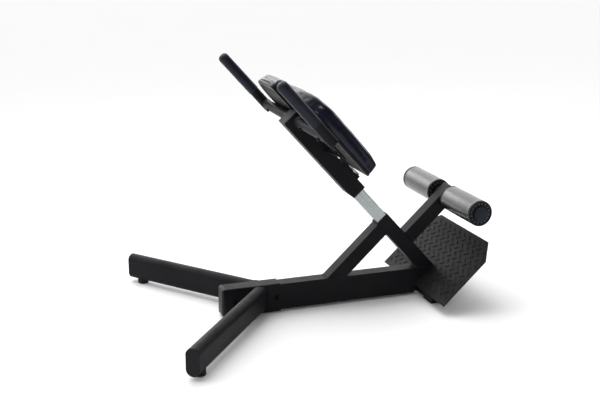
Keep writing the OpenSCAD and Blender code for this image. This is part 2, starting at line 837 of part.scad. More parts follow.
module left_wing() wing(LEFT);

module right_wing() wing(RIGHT);

module pad_screws() color(black_steel) on_post() for (side = [LEFT, RIGHT]) for (y = pad_screw_ys)
    translate([carriage_top - wing_t, side * y, wing_low + wing_len / 2]) rotate([0, 90, 0])
        button_bolt(pad_screw_d, pad_screw_head, pad_screw_head_h, wing_t + board_t - 2 * bolt_short);

// ---- clamp ----

module at_lever() translate([0, 0, lever_at]) rotate([0, 90, 0]) children();

module lock_block() color(frame_paint) on_post() difference() {
    union() {
        translate([carriage_top, -block_w / 2, block_low]) cube([block_t, block_w, block_len]);
        translate([carriage_top, -block_w / 2, block_low])
            cube([block_t + block_stop_t, block_w, block_stop_len]);
    }
    at_lever() cylinder(h = carriage_h, d = screw_d + 2 * axle_fit);
}

// tapered lever that lies down the carriage from its hub
module clamp_lever() color(zinc) on_post() difference() {
    union() {
        at_lever() translate([0, 0, hub_low]) cylinder(h = lever_hub_t, d = lever_hub_d);
        translate([hub_low + lever_lift, 0, lever_at]) rotate([90, 0, 90]) linear_extrude(lever_t) union() {
            polygon([
                [-lever_root_r, 0],
                [-lever_tip_r, -lever_len],
                [lever_tip_r, -lever_len],
                [lever_root_r, 0]
            ]);
            translate([0, -lever_len]) circle(lever_tip_r);
        }
    }
    at_lever() cylinder(h = hub_low + lever_hub_t - lever_cover, d = screw_d);
}

module clamp_screw() color(black_steel) on_post() at_lever()
    translate([0, 0, shoe_low + shoe_t])
    cylinder(h = hub_low + lever_hub_t - lever_cover - shoe_low - shoe_t, d = screw_d);

module clamp_shoe() color(plastic) on_post() at_lever()
    translate([0, 0, shoe_low]) cylinder(h = shoe_t, d = shoe_d);

base_tube();
front_sleeve();
sleeve_cap();
sleeve_bolts();
sleeve_nuts();
left_leg();
right_leg();
leg_caps();
front_feet();
foot_screws();
post();
brace();
mast();
mast_plug();
roller_arm();
arm_cap();
roller_axle();
axle_washers();
axle_screws();
foot_plate();
plate_ribs();
rear_foot();
rear_foot_link();
rear_foot_caps();
rear_foot_pads();
carriage_tube();
carriage_cap();
lower_bush();
upper_bush();
bush_screws();
cross_tube();
left_handle();
right_handle();
handle_bolts();
left_grip();
right_grip();
left_wing();
right_wing();
left_board();
right_board();
left_pad();
right_pad();
pad_bolts();
pad_screws();
lock_block();
clamp_lever();
clamp_screw();
clamp_shoe();
left_roller();
left_roller_core();
left_roller_caps();
left_hub();
right_roller();
right_roller_core();
right_roller_caps();
right_hub();
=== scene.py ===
"""Roman chair: pads, rollers, welds, tread and finishes built round the bench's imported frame."""

import json
import math
import random

import bmesh
import bpy
from mathutils import Matrix, Vector, noise

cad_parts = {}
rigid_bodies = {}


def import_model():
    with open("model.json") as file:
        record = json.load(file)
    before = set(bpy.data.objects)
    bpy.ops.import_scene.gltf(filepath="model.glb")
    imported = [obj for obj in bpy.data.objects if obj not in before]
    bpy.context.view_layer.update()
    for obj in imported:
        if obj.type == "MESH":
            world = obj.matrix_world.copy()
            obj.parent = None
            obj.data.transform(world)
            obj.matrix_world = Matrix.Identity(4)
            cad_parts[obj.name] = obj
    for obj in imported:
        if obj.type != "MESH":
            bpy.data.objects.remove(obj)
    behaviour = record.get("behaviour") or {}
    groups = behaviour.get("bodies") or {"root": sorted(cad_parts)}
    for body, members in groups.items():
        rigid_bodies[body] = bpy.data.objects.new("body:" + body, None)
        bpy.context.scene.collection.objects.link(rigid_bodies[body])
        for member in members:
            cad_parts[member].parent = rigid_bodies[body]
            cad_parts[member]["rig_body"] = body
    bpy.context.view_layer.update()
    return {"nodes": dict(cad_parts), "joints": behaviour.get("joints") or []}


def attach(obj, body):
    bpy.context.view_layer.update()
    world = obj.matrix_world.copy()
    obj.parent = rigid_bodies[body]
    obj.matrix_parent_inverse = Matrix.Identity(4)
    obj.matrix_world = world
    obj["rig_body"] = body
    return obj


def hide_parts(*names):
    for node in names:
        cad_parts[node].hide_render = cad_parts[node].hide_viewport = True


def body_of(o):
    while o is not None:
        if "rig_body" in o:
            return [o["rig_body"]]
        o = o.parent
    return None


bl_info = {
    "name": "Roman Chair Studio",
    "version": (1, 0, 0),
    "blender": (4, 5, 0),
    "location": "View3D > Sidebar > Roman Chair",
    "description": "Builds the soft parts, trim, finishes and studio of a roman chair",
    "category": "Object",
}

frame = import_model()
NODES = frame["nodes"]
JOINTS = {joint["name"]: joint for joint in frame["joints"]}

# the two side names and the sign of Y on each
SIDES = (("left", 1.0), ("right", -1.0))

# places along the slanted post, measured from the post's foot in the base tube's middle
LEVER_AT, LEVER_BASE = 0.552, 0.0374
UP_POST = Vector(JOINTS["carriage_slide"]["axis"]).normalized()
OUT_POST = Vector(JOINTS["clamp_turn"]["axis"]).normalized()
ACROSS = Vector((0.0, 1.0, 0.0))
POST_FOOT = Vector(JOINTS["clamp_turn"]["pos_m"]) - LEVER_AT * UP_POST
AXLE = Vector(JOINTS["left_roller_spin"]["pos_m"])


def axes(x_axis, y_axis, z_axis, origin):
    """A placing matrix whose columns are three axes and an origin."""
    rows = [[x_axis[i], y_axis[i], z_axis[i], origin[i]] for i in range(3)]
    return Matrix(rows + [[0.0, 0.0, 0.0, 1.0]])


# post: x out of the padded face, y across, z up the post
POST = axes(OUT_POST, ACROSS, UP_POST, POST_FOOT)

# tread plate: x up its slope, y across, z out of the tread
PLATE_SLOPE = math.radians(43.0)
PLATE_EDGE = Vector((POST_FOOT.x - 0.083, 0.0, 0.037))
UP_PLATE = Vector((math.cos(PLATE_SLOPE), 0.0, math.sin(PLATE_SLOPE)))
OFF_PLATE = Vector((-math.sin(PLATE_SLOPE), 0.0, math.cos(PLATE_SLOPE)))
PLATE = axes(UP_PLATE, ACROSS, OFF_PLATE, PLATE_EDGE)

# front legs
LEG_ANGLE = math.radians(52.0)
LEG_ROOT = Vector((POST_FOOT.x - 0.659, 0.029, 0.058))
LEG_LENGTH, LEG_WIDTH, LEG_HEIGHT = 0.545, 0.045, 0.090

# tread plate in its own axes: its outline, the room round the post's foot, and the ribs behind it
PLATE_HALF, PLATE_LENGTH = 0.245, 0.271
PLATE_CUT_ACROSS, PLATE_CUT_UP = 0.069, 0.063
FOOT_HALF, FOOT_REACH = 0.034, 0.113
RIB_SIDES = (0.1125, 0.1075)
RIB_ENDS = (0.064, 0.236)
RIB_BEAD_DEPTH = 0.0054

# where tubes meet: distances in front of the post's foot, and distances up the post
BRACE_ON_BASE = (0.4155, 0.3413)
POST_ON_BASE = 0.0743
BRACE_ON_POST = (0.2650, 0.3160)
ARM_ON_POST = (0.1670, 0.2190)
POST_HALF = 0.0250
BEAD_HALF = 0.0245

# weld beads: spacing of their rings, and how far they stand off a face
BEAD_STEP = 0.0013
BEAD_LIFT = 0.0004

# main sizes that the looks are built on
BASE_TOP = 0.100
SLEEVE_END, SLEEVE_MIDDLE = 0.775, 0.055
CARRIAGE_SIDE = 0.030
CARRIAGE_TOP = 0.029
CROSS_OUT, CROSS_AT, HANDLE_RADIUS = 0.011, 0.795, 0.017
HANDLE_Y = 0.322
PAD_IN, PAD_OUT, PAD_LOW, PAD_HIGH = 0.038, 0.262, 0.584, 0.922
PAD_CORNER, PAD_SMALL_CORNER = 0.100, 0.012
BOARD_TOP = 0.038
CUSHION_VOXEL, CUSHION_SWELL, CUSHION_PRESSURE = 0.005, 0.0035, 4.0
CUSHION_FRAMES = 20
GRIP_LOW, GRIP_LENGTH, GRIP_RADIUS, GRIP_BORE = 0.861, 0.174, 0.0185, 0.0171
ROLLER_IN, ROLLER_LENGTH, ROLLER_RADIUS = 0.046, 0.212, 0.044
CAP_THICKNESS = 0.0045
SLEEVE_BORE, HUB_BORE = 0.0166, 0.0185
FOAM_SKIN_FROM, FOAM_DENT, FOAM_DENT_SIZE = 0.030, 0.0002, 0.03
CAP_RIBS = 16

# where a colour Mix node keeps its mask, its two colours and its result
MIX_MASK, MIX_UNDER, MIX_TOP, MIX_RESULT = 0, 6, 7, 2


# ---- meshes ----


def piece(name, points, faces):
    """A new mesh piece with its place in its vertices."""
    mesh = bpy.data.meshes.new(name)
    mesh.from_pydata([tuple(p) for p in points], [], faces)
    mesh.validate()
    mesh.update()
    thing = bpy.data.objects.new(name, mesh)
    bpy.context.scene.collection.objects.link(thing)
    return thing


def smooth(thing, angle=40.0):
    """Smooth shading that stays crisp over edges sharper than the angle."""
    thing.data.shade_smooth()
    thing.data.set_sharp_from_angle(angle=math.radians(angle))


def outward(thing):
    """Turns the faces of a closed piece outwards."""
    work = bmesh.new()
    work.from_mesh(thing.data)
    bmesh.ops.recalc_face_normals(work, faces=work.faces)
    work.to_mesh(thing.data)
    work.free()


def settle(thing):
    """Applies every modifier to the piece's own mesh."""
    graph = bpy.context.evaluated_depsgraph_get()
    made = bpy.data.meshes.new_from_object(thing.evaluated_get(graph), depsgraph=graph)
    thing.modifiers.clear()
    old = thing.data
    thing.data = made
    bpy.data.meshes.remove(old)


def own(thing, body, finish, stands_for=()):
    """Gives a piece its body and its finish, and hides the CAD nodes that it stands for."""
    thing.data.materials.clear()
    thing.data.materials.append(finish)
    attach(thing, body)
    if stands_for:
        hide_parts(*stands_for)
    return thing


def coat(nodes, finish):
    """Puts one finish on carried-over CAD nodes."""
    for name in nodes:
        for holder in NODES[name].material_slots:
            holder.material = finish


def turned(name, profile, place, segments=72):
    """A piece turned about its own z axis from (radius, height) points, then placed."""
    points, faces, rings = [], [], []
    for radius, height in profile:
        if radius < 1e-6:
            rings.append([len(points)])
            points.append(Vector((0.0, 0.0, height)))
            continue
        rings.append(list(range(len(points), len(points) + segments)))
        for k in range(segments):
            a = 2.0 * math.pi * k / segments
            points.append(Vector((radius * math.cos(a), radius * math.sin(a), height)))
    for low, high in zip(rings, rings[1:]):
        for k in range(segments):
            m = (k + 1) % segments
            corners = [low[k % len(low)], low[m % len(low)], high[m % len(high)], high[k % len(high)]]
            face = list(dict.fromkeys(corners))
            if len(face) > 2:
                faces.append(face)
    made = piece(name, [place @ p for p in points], faces)
    outward(made)
    smooth(made)
    return made


def arc(cx, cy, radius, start, end, count):
    """Points on an arc, in degrees."""
    turn = [math.radians(start + (end - start) * k / count) for k in range(count + 1)]
    return [(cx + radius * math.cos(a), cy + radius * math.sin(a)) for a in turn]


def sweep(path, radius, closed=False, sides=8, ripple=0.0, pitch=0.004):
    """Rings of points and faces of a round bead along a path of points."""
    points, faces = [], []
    count = len(path)
    walked = 0.0
    for i, at in enumerate(path):
        before = path[i - 1] if closed or i else path[i]
        after = path[(i + 1) % count] if closed or i + 1 < count else path[i]
        along = (after - before).normalized()
        side = along.orthogonal().normalized()
        up = along.cross(side)
        if i:
            walked += (at - path[i - 1]).length
        swell = radius * (1.0 + ripple * math.sin(2.0 * math.pi * walked / pitch))
        if not closed and i in (0, count - 1):
            swell *= 0.45
        if points:
            last = points[-sides] - path[i - 1]
            lean = math.atan2(last.dot(up), last.dot(side))
        else:
            lean = 0.0
        for k in range(sides):
            a = lean + 2.0 * math.pi * k / sides
            points.append(at + swell * (math.cos(a) * side + math.sin(a) * up))
    for i in range(count if closed else count - 1):
        j = (i + 1) % count
        for k in range(sides):
            m = (k + 1) % sides
            faces.append([i * sides + k, i * sides + m, j * sides + m, j * sides + k])
    if not closed:
        faces.append(list(range(sides))[::-1])
        faces.append([(count - 1) * sides + k for k in range(sides)])
    return points, faces


def joined(name, parts):
    """One piece from many (points, faces) parts."""
    points, faces = [], []
    for some, few in parts:
        base = len(points)
        points += some
        faces += [[base + v for v in face] for face in few]
    made = piece(name, points, faces)
    outward(made)
    smooth(made, 50.0)
    return made


def lofted(loops):
    """Points and faces of a closed body drawn through loops of one length, flat at both ends."""
    count = len(loops[0])
    faces = [list(range(count))[::-1]]
    for level in range(len(loops) - 1):
        low = level * count
        for k in range(count):
            m = (k + 1) % count
            faces.append([low + k, low + m, low + count + m, low + count + k])
    last = (len(loops) - 1) * count
    faces.append([last + k for k in range(count)])
    return [p for loop in loops for p in loop], faces


def rounded(width, height, radius):
    """Outline of a rectangle with rounded corners, about its middle."""
    x, y = width / 2.0 - radius, height / 2.0 - radius
    outline = []
    for cx, cy, start in ((x, y, 0), (-x, y, 90), (-x, -y, 180), (x, -y, 270)):
        outline += arc(cx, cy, radius, start, start + 90, 6)
    return outline


def stepped(a, b, step):
    """Points from a to b, a step apart."""
    count = max(2, int((b - a).length / step))
    return [a.lerp(b, k / count) for k in range(count + 1)]


def softened(node, name, width, finish, segments=2):
    """A copy of a CAD node with small rounded edges, shown in its place."""
    source = NODES[node]
    made = bpy.data.objects.new(name, source.data.copy())
    bpy.context.scene.collection.objects.link(made)
    made.data.transform(source.matrix_world)
    work = bmesh.new()
    work.from_mesh(made.data)
    bmesh.ops.remove_doubles(work, verts=work.verts, dist=1e-5)
    bmesh.ops.dissolve_limit(work, angle_limit=math.radians(1.0), verts=work.verts, edges=work.edges)
    work.to_mesh(made.data)
    work.free()
    cut = made.modifiers.new("edge", "BEVEL")
    cut.width, cut.segments = width, segments
    cut.limit_method, cut.angle_limit = "ANGLE", math.radians(35.0)
    level = made.modifiers.new("level", "WEIGHTED_NORMAL")
    level.weight = 90
    made.data.shade_smooth()
    settle(made)
    return own(made, body_of(source)[0], finish, (node,))


# ---- shader groups ----


def wire(tree, kind, links=None, **settings):
    """Adds a node, sets its properties, and sets or joins its inputs."""
    made = tree.nodes.new(kind)
    for key, value in settings.items():
        setattr(made, key, value)
    for key, value in (links or {}).items():
        if isinstance(value, bpy.types.NodeSocket):
            tree.links.new(value, made.inputs[key])
        else:
            made.inputs[key].default_value = value
    return made


def group(name, inputs, outputs):
    """An empty shader group with named float inputs and typed outputs."""
    tree = bpy.data.node_groups.new(name, "ShaderNodeTree")
    for label, value in inputs:
        socket = tree.interface.new_socket(name=label, in_out="INPUT", socket_type="NodeSocketFloat")
        socket.default_value = value
    for label, kind in outputs:
        tree.interface.new_socket(name=label, in_out="OUTPUT", socket_type=kind)
    return tree, tree.nodes.new("NodeGroupInput").outputs, tree.nodes.new("NodeGroupOutput").inputs


def ranged(tree, value, low, high, to_low=0.0, to_high=1.0):
    """Maps a varying value from one range to another, clamped."""
    links = {"Value": value, "From Min": low, "From Max": high, "To Min": to_low, "To Max": to_high}
    return wire(tree, "ShaderNodeMapRange", links).outputs["Result"]


def sums(tree, how, a, b):
    """One Math node."""
    return wire(tree, "ShaderNodeMath", {0: a, 1: b}, operation=how).outputs[0]


def build_edge_wear():
    """Rounded edges and a broken mask that follows them."""
    tree, given, out = group(
        "Edge wear",
        [("Radius", 0.0012), ("Breakup", 60.0)],
        [("Mask", "NodeSocketFloat"), ("Normal", "NodeSocketVector")],
    )
    place = wire(tree, "ShaderNodeTexCoord").outputs["Object"]
    bent = wire(tree, "ShaderNodeBevel", {"Radius": given["Radius"]}, samples=4).outputs["Normal"]
    true = wire(tree, "ShaderNodeNewGeometry").outputs["Normal"]
    facing = wire(tree, "ShaderNodeVectorMath", {0: bent, 1: true}, operation="DOT_PRODUCT").outputs["Value"]
    rough = wire(tree, "ShaderNodeTexNoise", {"Vector": place, "Scale": given["Breakup"], "Detail": 4.0})
    edge = ranged(tree, facing, 0.995, 0.90)
    tree.links.new(sums(tree, "MULTIPLY", edge, ranged(tree, rough.outputs["Fac"], 0.35, 0.75)), out["Mask"])
    tree.links.new(bent, out["Normal"])
    return tree


def build_powder():
    """Fine powder-coat texture with a slow drift of shade."""
    tree, given, out = group(
        "Powder texture",
        [("Grain", 1400.0), ("Drift", 9.0)],
        [("Height", "NodeSocketFloat"), ("Shade", "NodeSocketFloat")],
    )
    place = wire(tree, "ShaderNodeTexCoord").outputs["Object"]
    fine = wire(tree, "ShaderNodeTexNoise", {"Vector": place, "Scale": given["Grain"], "Detail": 2.0})
    slow = wire(tree, "ShaderNodeTexNoise", {"Vector": place, "Scale": given["Drift"], "Detail": 5.0})
    tree.links.new(fine.outputs["Fac"], out["Height"])
    tree.links.new(slow.outputs["Fac"], out["Shade"])
    return tree


def build_dust():
    """A light film that gathers on faces that look up."""
    tree, given, out = group("Settled dust", [("Patch", 25.0)], [("Mask", "NodeSocketFloat")])
    place = wire(tree, "ShaderNodeTexCoord").outputs["Object"]
    facing = wire(tree, "ShaderNodeSeparateXYZ", {0: wire(tree, "ShaderNodeNewGeometry").outputs["Normal"]})
    patch = wire(tree, "ShaderNodeTexNoise", {"Vector": place, "Scale": given["Patch"], "Detail": 6.0})
    level = ranged(tree, facing.outputs["Z"], 0.3, 1.0)
    tree.links.new(sums(tree, "MULTIPLY", level, ranged(tree, patch.outputs["Fac"], 0.3, 0.8)), out["Mask"])
    return tree


def build_hide():
    """Pebbled hide cells with soft creases."""
    tree, given, out = group(
        "Hide grain",
        [("Pebble", 620.0), ("Crease", 38.0)],
        [("Height", "NodeSocketFloat"), ("Shade", "NodeSocketFloat")],
    )
    place = wire(tree, "ShaderNodeTexCoord").outputs["Object"]
    pebbles = {"Vector": place, "Scale": given["Pebble"]}
    cells = wire(tree, "ShaderNodeTexVoronoi", pebbles, feature="SMOOTH_F1")
    folds = wire(tree, "ShaderNodeTexNoise", {"Vector": place, "Scale": given["Crease"], "Detail": 3.0})
    mixed = sums(tree, "ADD", cells.outputs["Distance"], sums(tree, "MULTIPLY", folds.outputs["Fac"], 0.8))
    tree.links.new(mixed, out["Height"])
    tree.links.new(folds.outputs["Fac"], out["Shade"])
    return tree


GROUPS = {}


def shared(name):
    """The shader group of that name, built once."""
    if name not in GROUPS:
        makers = {"wear": build_edge_wear, "powder": build_powder, "dust": build_dust, "hide": build_hide}
        GROUPS[name] = makers[name]()
    return GROUPS[name]


def placed(tree, name, **values):
    """Places a shared group in a material with its own values."""
    made = wire(tree, "ShaderNodeGroup")
    made.node_tree = shared(name)
    for key, value in values.items():
        made.inputs[key].default_value = value
    return made.outputs


def blank(name, **constants):
    """A material with a Principled shader whose constant sockets are set here."""
    made = bpy.data.materials.new(name)
    made.use_nodes = True
    tree = made.node_tree
    shader = tree.nodes["Principled BSDF"]
    for key, value in constants.items():
        shader.inputs[key.replace("_", " ")].default_value = value
    return made, tree, shader.inputs


def tint(tree, mask, one, other):
    """A colour that runs from one to the other with a mask."""
    links = {MIX_MASK: mask, MIX_UNDER: (*one, 1.0), MIX_TOP: (*other, 1.0)}
    return wire(tree, "ShaderNodeMix", links, data_type="RGBA").outputs[MIX_RESULT]


def over(tree, mask, under, top):
    """A colour socket laid over with a plain colour by a mask."""
    links = {MIX_MASK: mask, MIX_UNDER: under, MIX_TOP: (*top, 1.0)}
    return wire(tree, "ShaderNodeMix", links, data_type="RGBA").outputs[MIX_RESULT]


def bumped(tree, height, strength, distance, normal=None):
    """A Bump node's normal, laid over the rounded edges where they are given."""
    links = {"Height": height, "Strength": strength, "Distance": distance}
    if normal is not None:
        links["Normal"] = normal
    return wire(tree, "ShaderNodeBump", links).outputs["Normal"]


def painted(name, colour, worn, rough, radius=0.0012, dusty=0.05, level=0.06, grain=1400.0):
    """Powder-coated steel: fine texture, drifting shade, slightly worn edges and a little dust."""
    made, tree, shader = blank(name, Specular_IOR_Level=level)
    wear = placed(tree, "wear", Radius=radius)
    powder = placed(tree, "powder", Grain=grain)
    dust = placed(tree, "dust")
    lighter = tuple(min(1.0, c * 1.35 + 0.002) for c in colour)
    base = tint(tree, ranged(tree, powder["Shade"], 0.3, 0.7), colour, lighter)
    base = over(tree, sums(tree, "MULTIPLY", wear["Mask"], 0.35), base, worn)
    base = over(tree, sums(tree, "MULTIPLY", dust["Mask"], dusty), base, (0.42, 0.41, 0.39))
    tree.links.new(base, shader["Base Color"])
    tree.links.new(ranged(tree, powder["Shade"], 0.3, 0.7, rough - 0.05, rough + 0.06), shader["Roughness"])
    tree.links.new(bumped(tree, powder["Height"], 0.10, 0.0004, wear["Normal"]), shader["Normal"])
    return made


def moulded(name, colour, rough, level=0.14, grain=900.0, bump=0.12):
    """Moulded plastic or rubber: stippled skin, rubbed edges and dust in the open."""
    made, tree, shader = blank(name, Specular_IOR_Level=level)
    wear = placed(tree, "wear", Radius=0.0008, Breakup=120.0)
    skin = placed(tree, "powder", Grain=grain, Drift=22.0)
    dust = placed(tree, "dust", Patch=60.0)
    lighter = tuple(min(1.0, c * 1.5 + 0.003) for c in colour)
    base = tint(tree, ranged(tree, skin["Shade"], 0.3, 0.7), colour, lighter)
    base = over(tree, sums(tree, "MULTIPLY", wear["Mask"], 0.2), base, (0.12, 0.12, 0.125))
    base = over(tree, sums(tree, "MULTIPLY", dust["Mask"], 0.04), base, (0.40, 0.39, 0.37))
    tree.links.new(base, shader["Base Color"])
    tree.links.new(ranged(tree, skin["Shade"], 0.3, 0.7, rough - 0.06, rough + 0.07), shader["Roughness"])
    tree.links.new(bumped(tree, skin["Height"], bump, 0.0005, wear["Normal"]), shader["Normal"])
    return made


def streaked(name, colour, dark, rough, metal, along):
    """Drawn metal with faint streaks along one direction and scuffs across it."""
    made, tree, shader = blank(name, Metallic=metal)
    place = wire(tree, "ShaderNodeTexCoord").outputs["Object"]
    turn = along.to_track_quat("Z", "Y").inverted().to_euler()
    turning = {"Vector": place, "Rotation": turn}
    local = wire(tree, "ShaderNodeVectorRotate", turning, rotation_type="EULER_XYZ")
    long = wire(tree, "ShaderNodeMapping", {"Vector": local.outputs[0], "Scale": (900.0, 900.0, 9.0)})
    fine = wire(tree, "ShaderNodeTexNoise", {"Vector": long.outputs[0], "Scale": 1.0, "Detail": 3.0})
    wear = placed(tree, "wear", Radius=0.0015)
    scuff = placed(tree, "powder", Grain=260.0, Drift=14.0)
    base = tint(tree, ranged(tree, fine.outputs["Fac"], 0.35, 0.65), dark, colour)
    base = over(tree, sums(tree, "MULTIPLY", wear["Mask"], 0.4), base, tuple(c * 0.45 for c in dark))
    tree.links.new(base, shader["Base Color"])
    tree.links.new(ranged(tree, scuff["Shade"], 0.3, 0.7, rough - 0.07, rough + 0.08), shader["Roughness"])
    tree.links.new(bumped(tree, fine.outputs["Fac"], 0.06, 0.0003, wear["Normal"]), shader["Normal"])
    return made


def upholstery(name, colour, bright, rough, coat_weight=0.22, pebble=620.0, bump=0.22):
    """Glossy padded vinyl: pebbled hide, slow creases and a clear coat."""
    made, tree, shader = blank(name, Coat_Weight=coat_weight, Coat_Roughness=0.14, Specular_IOR_Level=0.12)
    hide = placed(tree, "hide", Pebble=pebble)
    dust = placed(tree, "dust", Patch=45.0)
    base = tint(tree, ranged(tree, hide["Shade"], 0.3, 0.7), colour, bright)
    base = over(tree, sums(tree, "MULTIPLY", dust["Mask"], 0.03), base, (0.40, 0.39, 0.38))
    tree.links.new(base, shader["Base Color"])
    tree.links.new(ranged(tree, hide["Shade"], 0.3, 0.7, rough - 0.05, rough + 0.08), shader["Roughness"])
    tree.links.new(bumped(tree, hide["Height"], bump, 0.0005), shader["Normal"])
    return made


def foam_skin(name, colour, bright, rough):
    """Closed-cell foam with fine pores and drawn-out shade along the roller."""
    made, tree, shader = blank(name, Specular_IOR_Level=0.75)
    place = wire(tree, "ShaderNodeTexCoord").outputs["Object"]
    long = wire(tree, "ShaderNodeMapping", {"Vector": place, "Scale": (70.0, 8.0, 70.0)})
    drawn = wire(tree, "ShaderNodeTexNoise", {"Vector": long.outputs[0], "Scale": 1.0, "Detail": 5.0})
    pores = wire(tree, "ShaderNodeTexVoronoi", {"Vector": place, "Scale": 850.0})
    dust = placed(tree, "dust", Patch=70.0)
    base = tint(tree, ranged(tree, drawn.outputs["Fac"], 0.3, 0.7), colour, bright)
    base = over(tree, sums(tree, "MULTIPLY", dust["Mask"], 0.03), base, (0.45, 0.45, 0.44))
    tree.links.new(base, shader["Base Color"])
    gloss = ranged(tree, drawn.outputs["Fac"], 0.3, 0.7, rough - 0.05, rough + 0.08)
    tree.links.new(gloss, shader["Roughness"])
    tree.links.new(bumped(tree, pores.outputs["Distance"], 0.12, 0.0004), shader["Normal"])
    return made


FINISHES = {}


def finish(name):
    """One of the bench's finishes, built once from the settings."""
    if name in FINISHES:
        return FINISHES[name]
    look = bpy.context.scene.roman_chair_looks
    paint, rubbed = tuple(look.paint), (0.15, 0.15, 0.16)
    mast, hub, grip = tuple(look.mast), tuple(look.hub), tuple(look.grip)
    tread, foam, vinyl = tuple(look.tread), tuple(look.foam), tuple(look.vinyl)
    bright_foam = tuple(c * 1.3 for c in foam)
    bright_vinyl = tuple(c * 1.5 for c in vinyl)
    wrap, bright_wrap = (0.004, 0.004, 0.006), (0.008, 0.008, 0.010)
    oxide, bare = (0.003, 0.003, 0.0035), (0.05, 0.05, 0.05)
    rubber, sheet, cut = (0.012, 0.012, 0.013), (0.0045, 0.005, 0.005), (0.085, 0.085, 0.09)
    makers = {
        "frame": lambda: painted("Satin charcoal powder coat", paint, rubbed, 0.46),
        "tread": lambda: painted("Tread plate paint", tread, rubbed, 0.50, dusty=0.04, grain=900.0),
        "bolt": lambda: painted("Black oxide fastener", oxide, bare, 0.45, 0.0006, 0.01, 0.03),
        "mast": lambda: streaked("Silver-grey mast", mast, (0.27, 0.30, 0.30), 0.26, 0.60, UP_POST),
        "axle": lambda: streaked("Plated axle", (0.45, 0.46, 0.47), (0.33, 0.34, 0.35), 0.30, 0.9, ACROSS),
        "zinc": lambda: streaked("Zinc casting", (0.62, 0.62, 0.60), (0.48, 0.48, 0.47), 0.38, 0.85, UP_POST),
        "plastic": lambda: moulded("Black moulded plastic", (0.0045, 0.0048, 0.0065), 0.40),
        "bush": lambda: moulded("Nylon bush", (0.012, 0.012, 0.012), 0.50, level=0.12),
        "hub": lambda: moulded("Navy hub cover", hub, 0.34, grain=500.0, bump=0.05),
        "rubber": lambda: moulded("Foot rubber", rubber, 0.62, level=0.12, grain=600.0, bump=0.3),
        "grip": lambda: moulded("Grip rubber", grip, 0.42, level=0.16, grain=700.0, bump=0.25),
        "cut_foam": lambda: moulded("Cut foam", cut, 0.85, level=0.05, grain=420.0, bump=0.4),
        "backing": lambda: moulded("Smooth backing sheet", sheet, 0.50, level=0.06, bump=0.03),
        "foam": lambda: foam_skin("Roller foam skin", foam, bright_foam, 0.25),
        "vinyl": lambda: upholstery("Dark navy vinyl", vinyl, bright_vinyl, 0.33),
        "piping": lambda: upholstery("Vinyl piping", wrap, bright_wrap, 0.34, 0.05, 900.0, 0.1),
    }
    FINISHES[name] = makers[name]()
    return FINISHES[name]


# ---- pads ----


def pad_outline(inset):
    """Outline of the left pad as (across, up) points, from its lower inner corner."""
    x0, x1 = PAD_IN + inset, PAD_OUT - inset
    y0, y1 = PAD_LOW + inset, PAD_HIGH - inset
    small, large = PAD_SMALL_CORNER, PAD_CORNER - inset
    outline = arc(x0 + small, y0 + small, small, 180, 270, 6)
    outline += arc(x1 - small, y0 + small, small, 270, 360, 6)
    outline += arc(x1 - large, y1 - large, large, 0, 90, 18)
    outline += arc(x0 + small, y1 - small, small, 90, 180, 6)
    return outline


def on_pad(sign, out, across, up):
    """A point over the pad's outline, on the given side."""
    return POST @ Vector((out, sign * across, up))


def even_path(points, step):
    """A closed path through the points, evenly spaced."""
    path = []
    for a, b in zip(points, points[1:] + points[:1]):
        count = max(1, round((b - a).length / step))
        path += [a.lerp(b, k / count) for k in range(count)]
    return path


def block_of_foam(name, sign, low, high, inset, edge):
    """The cushion's rough block: its outline drawn out, with rounded shoulders."""
    outline = pad_outline(inset)
    work = bmesh.new()
    floor = [work.verts.new((low, sign * x, y)) for x, y in outline]
    work.faces.new(floor)
    raised = bmesh.ops.extrude_face_region(work, geom=work.faces[:])
    top = [v for v in raised["geom"] if isinstance(v, bmesh.types.BMVert)]
    for v in top:
        v.co.x = high
    bmesh.ops.recalc_face_normals(work, faces=work.faces)
    top_set = set(top)
    rim = [e for e in work.edges if e.verts[0] in top_set and e.verts[1] in top_set]
    bmesh.ops.bevel(work, geom=rim, offset=edge, segments=5, profile=0.5, affect="EDGES")
    mesh = bpy.data.meshes.new(name)
    work.to_mesh(mesh)
    work.free()
    made = bpy.data.objects.new(name, mesh)
    bpy.context.scene.collection.objects.link(made)
    return made


def crown(thing, low, high, rise):
    """Raises the cushion's top most in its middle and least at its ends."""
    half = (PAD_HIGH - PAD_LOW) / 2.0
    centre = (PAD_HIGH + PAD_LOW) / 2.0
    wide = (PAD_OUT - PAD_IN) / 2.0
    across = (PAD_OUT + PAD_IN) / 2.0
    for v in thing.data.vertices:
        lift = max(0.0, min(1.0, (v.co.x - low) / (high - low)))
        u = (v.co.z - centre) / half
        w = (abs(v.co.y) - across) / wide
        v.co.x += rise * lift * (max(0.0, 1.0 - u * u) ** 0.7 * (1.0 - 0.2 * w * w) - 0.25)
        v.co.x -= 0.009 * lift * max(0.0, u) ** 8


def stuffed(thing, low):
    """Swells a cushion by a short cloth simulation whose bottom is held, and applies it."""
    start = [v.co.copy() for v in thing.data.vertices]
    held = thing.vertex_groups.new(name="held")
    held.add([v.index for v in thing.data.vertices if v.co.x < low + 0.003], 1.0, "REPLACE")
    cloth = thing.modifiers.new("cloth", "CLOTH")
    kind = cloth.settings
    kind.use_pressure, kind.uniform_pressure_force = True, CUSHION_PRESSURE
    kind.effector_weights.gravity = 0.0
    kind.vertex_group_mass = "held"
    kind.quality, kind.mass = 5, 0.3
    kind.tension_stiffness = kind.compression_stiffness = 15.0
    kind.bending_stiffness = 0.8
    cloth.collision_settings.use_collision = False
    scene = bpy.context.scene
    for step in range(1, CUSHION_FRAMES + 1):
        scene.frame_set(step)
    settle(thing)
    scene.frame_set(1)
    for v, was in zip(thing.data.vertices, start):
        move = v.co - was
        if move.length > CUSHION_SWELL:
            v.co = was + move * (CUSHION_SWELL / move.length)


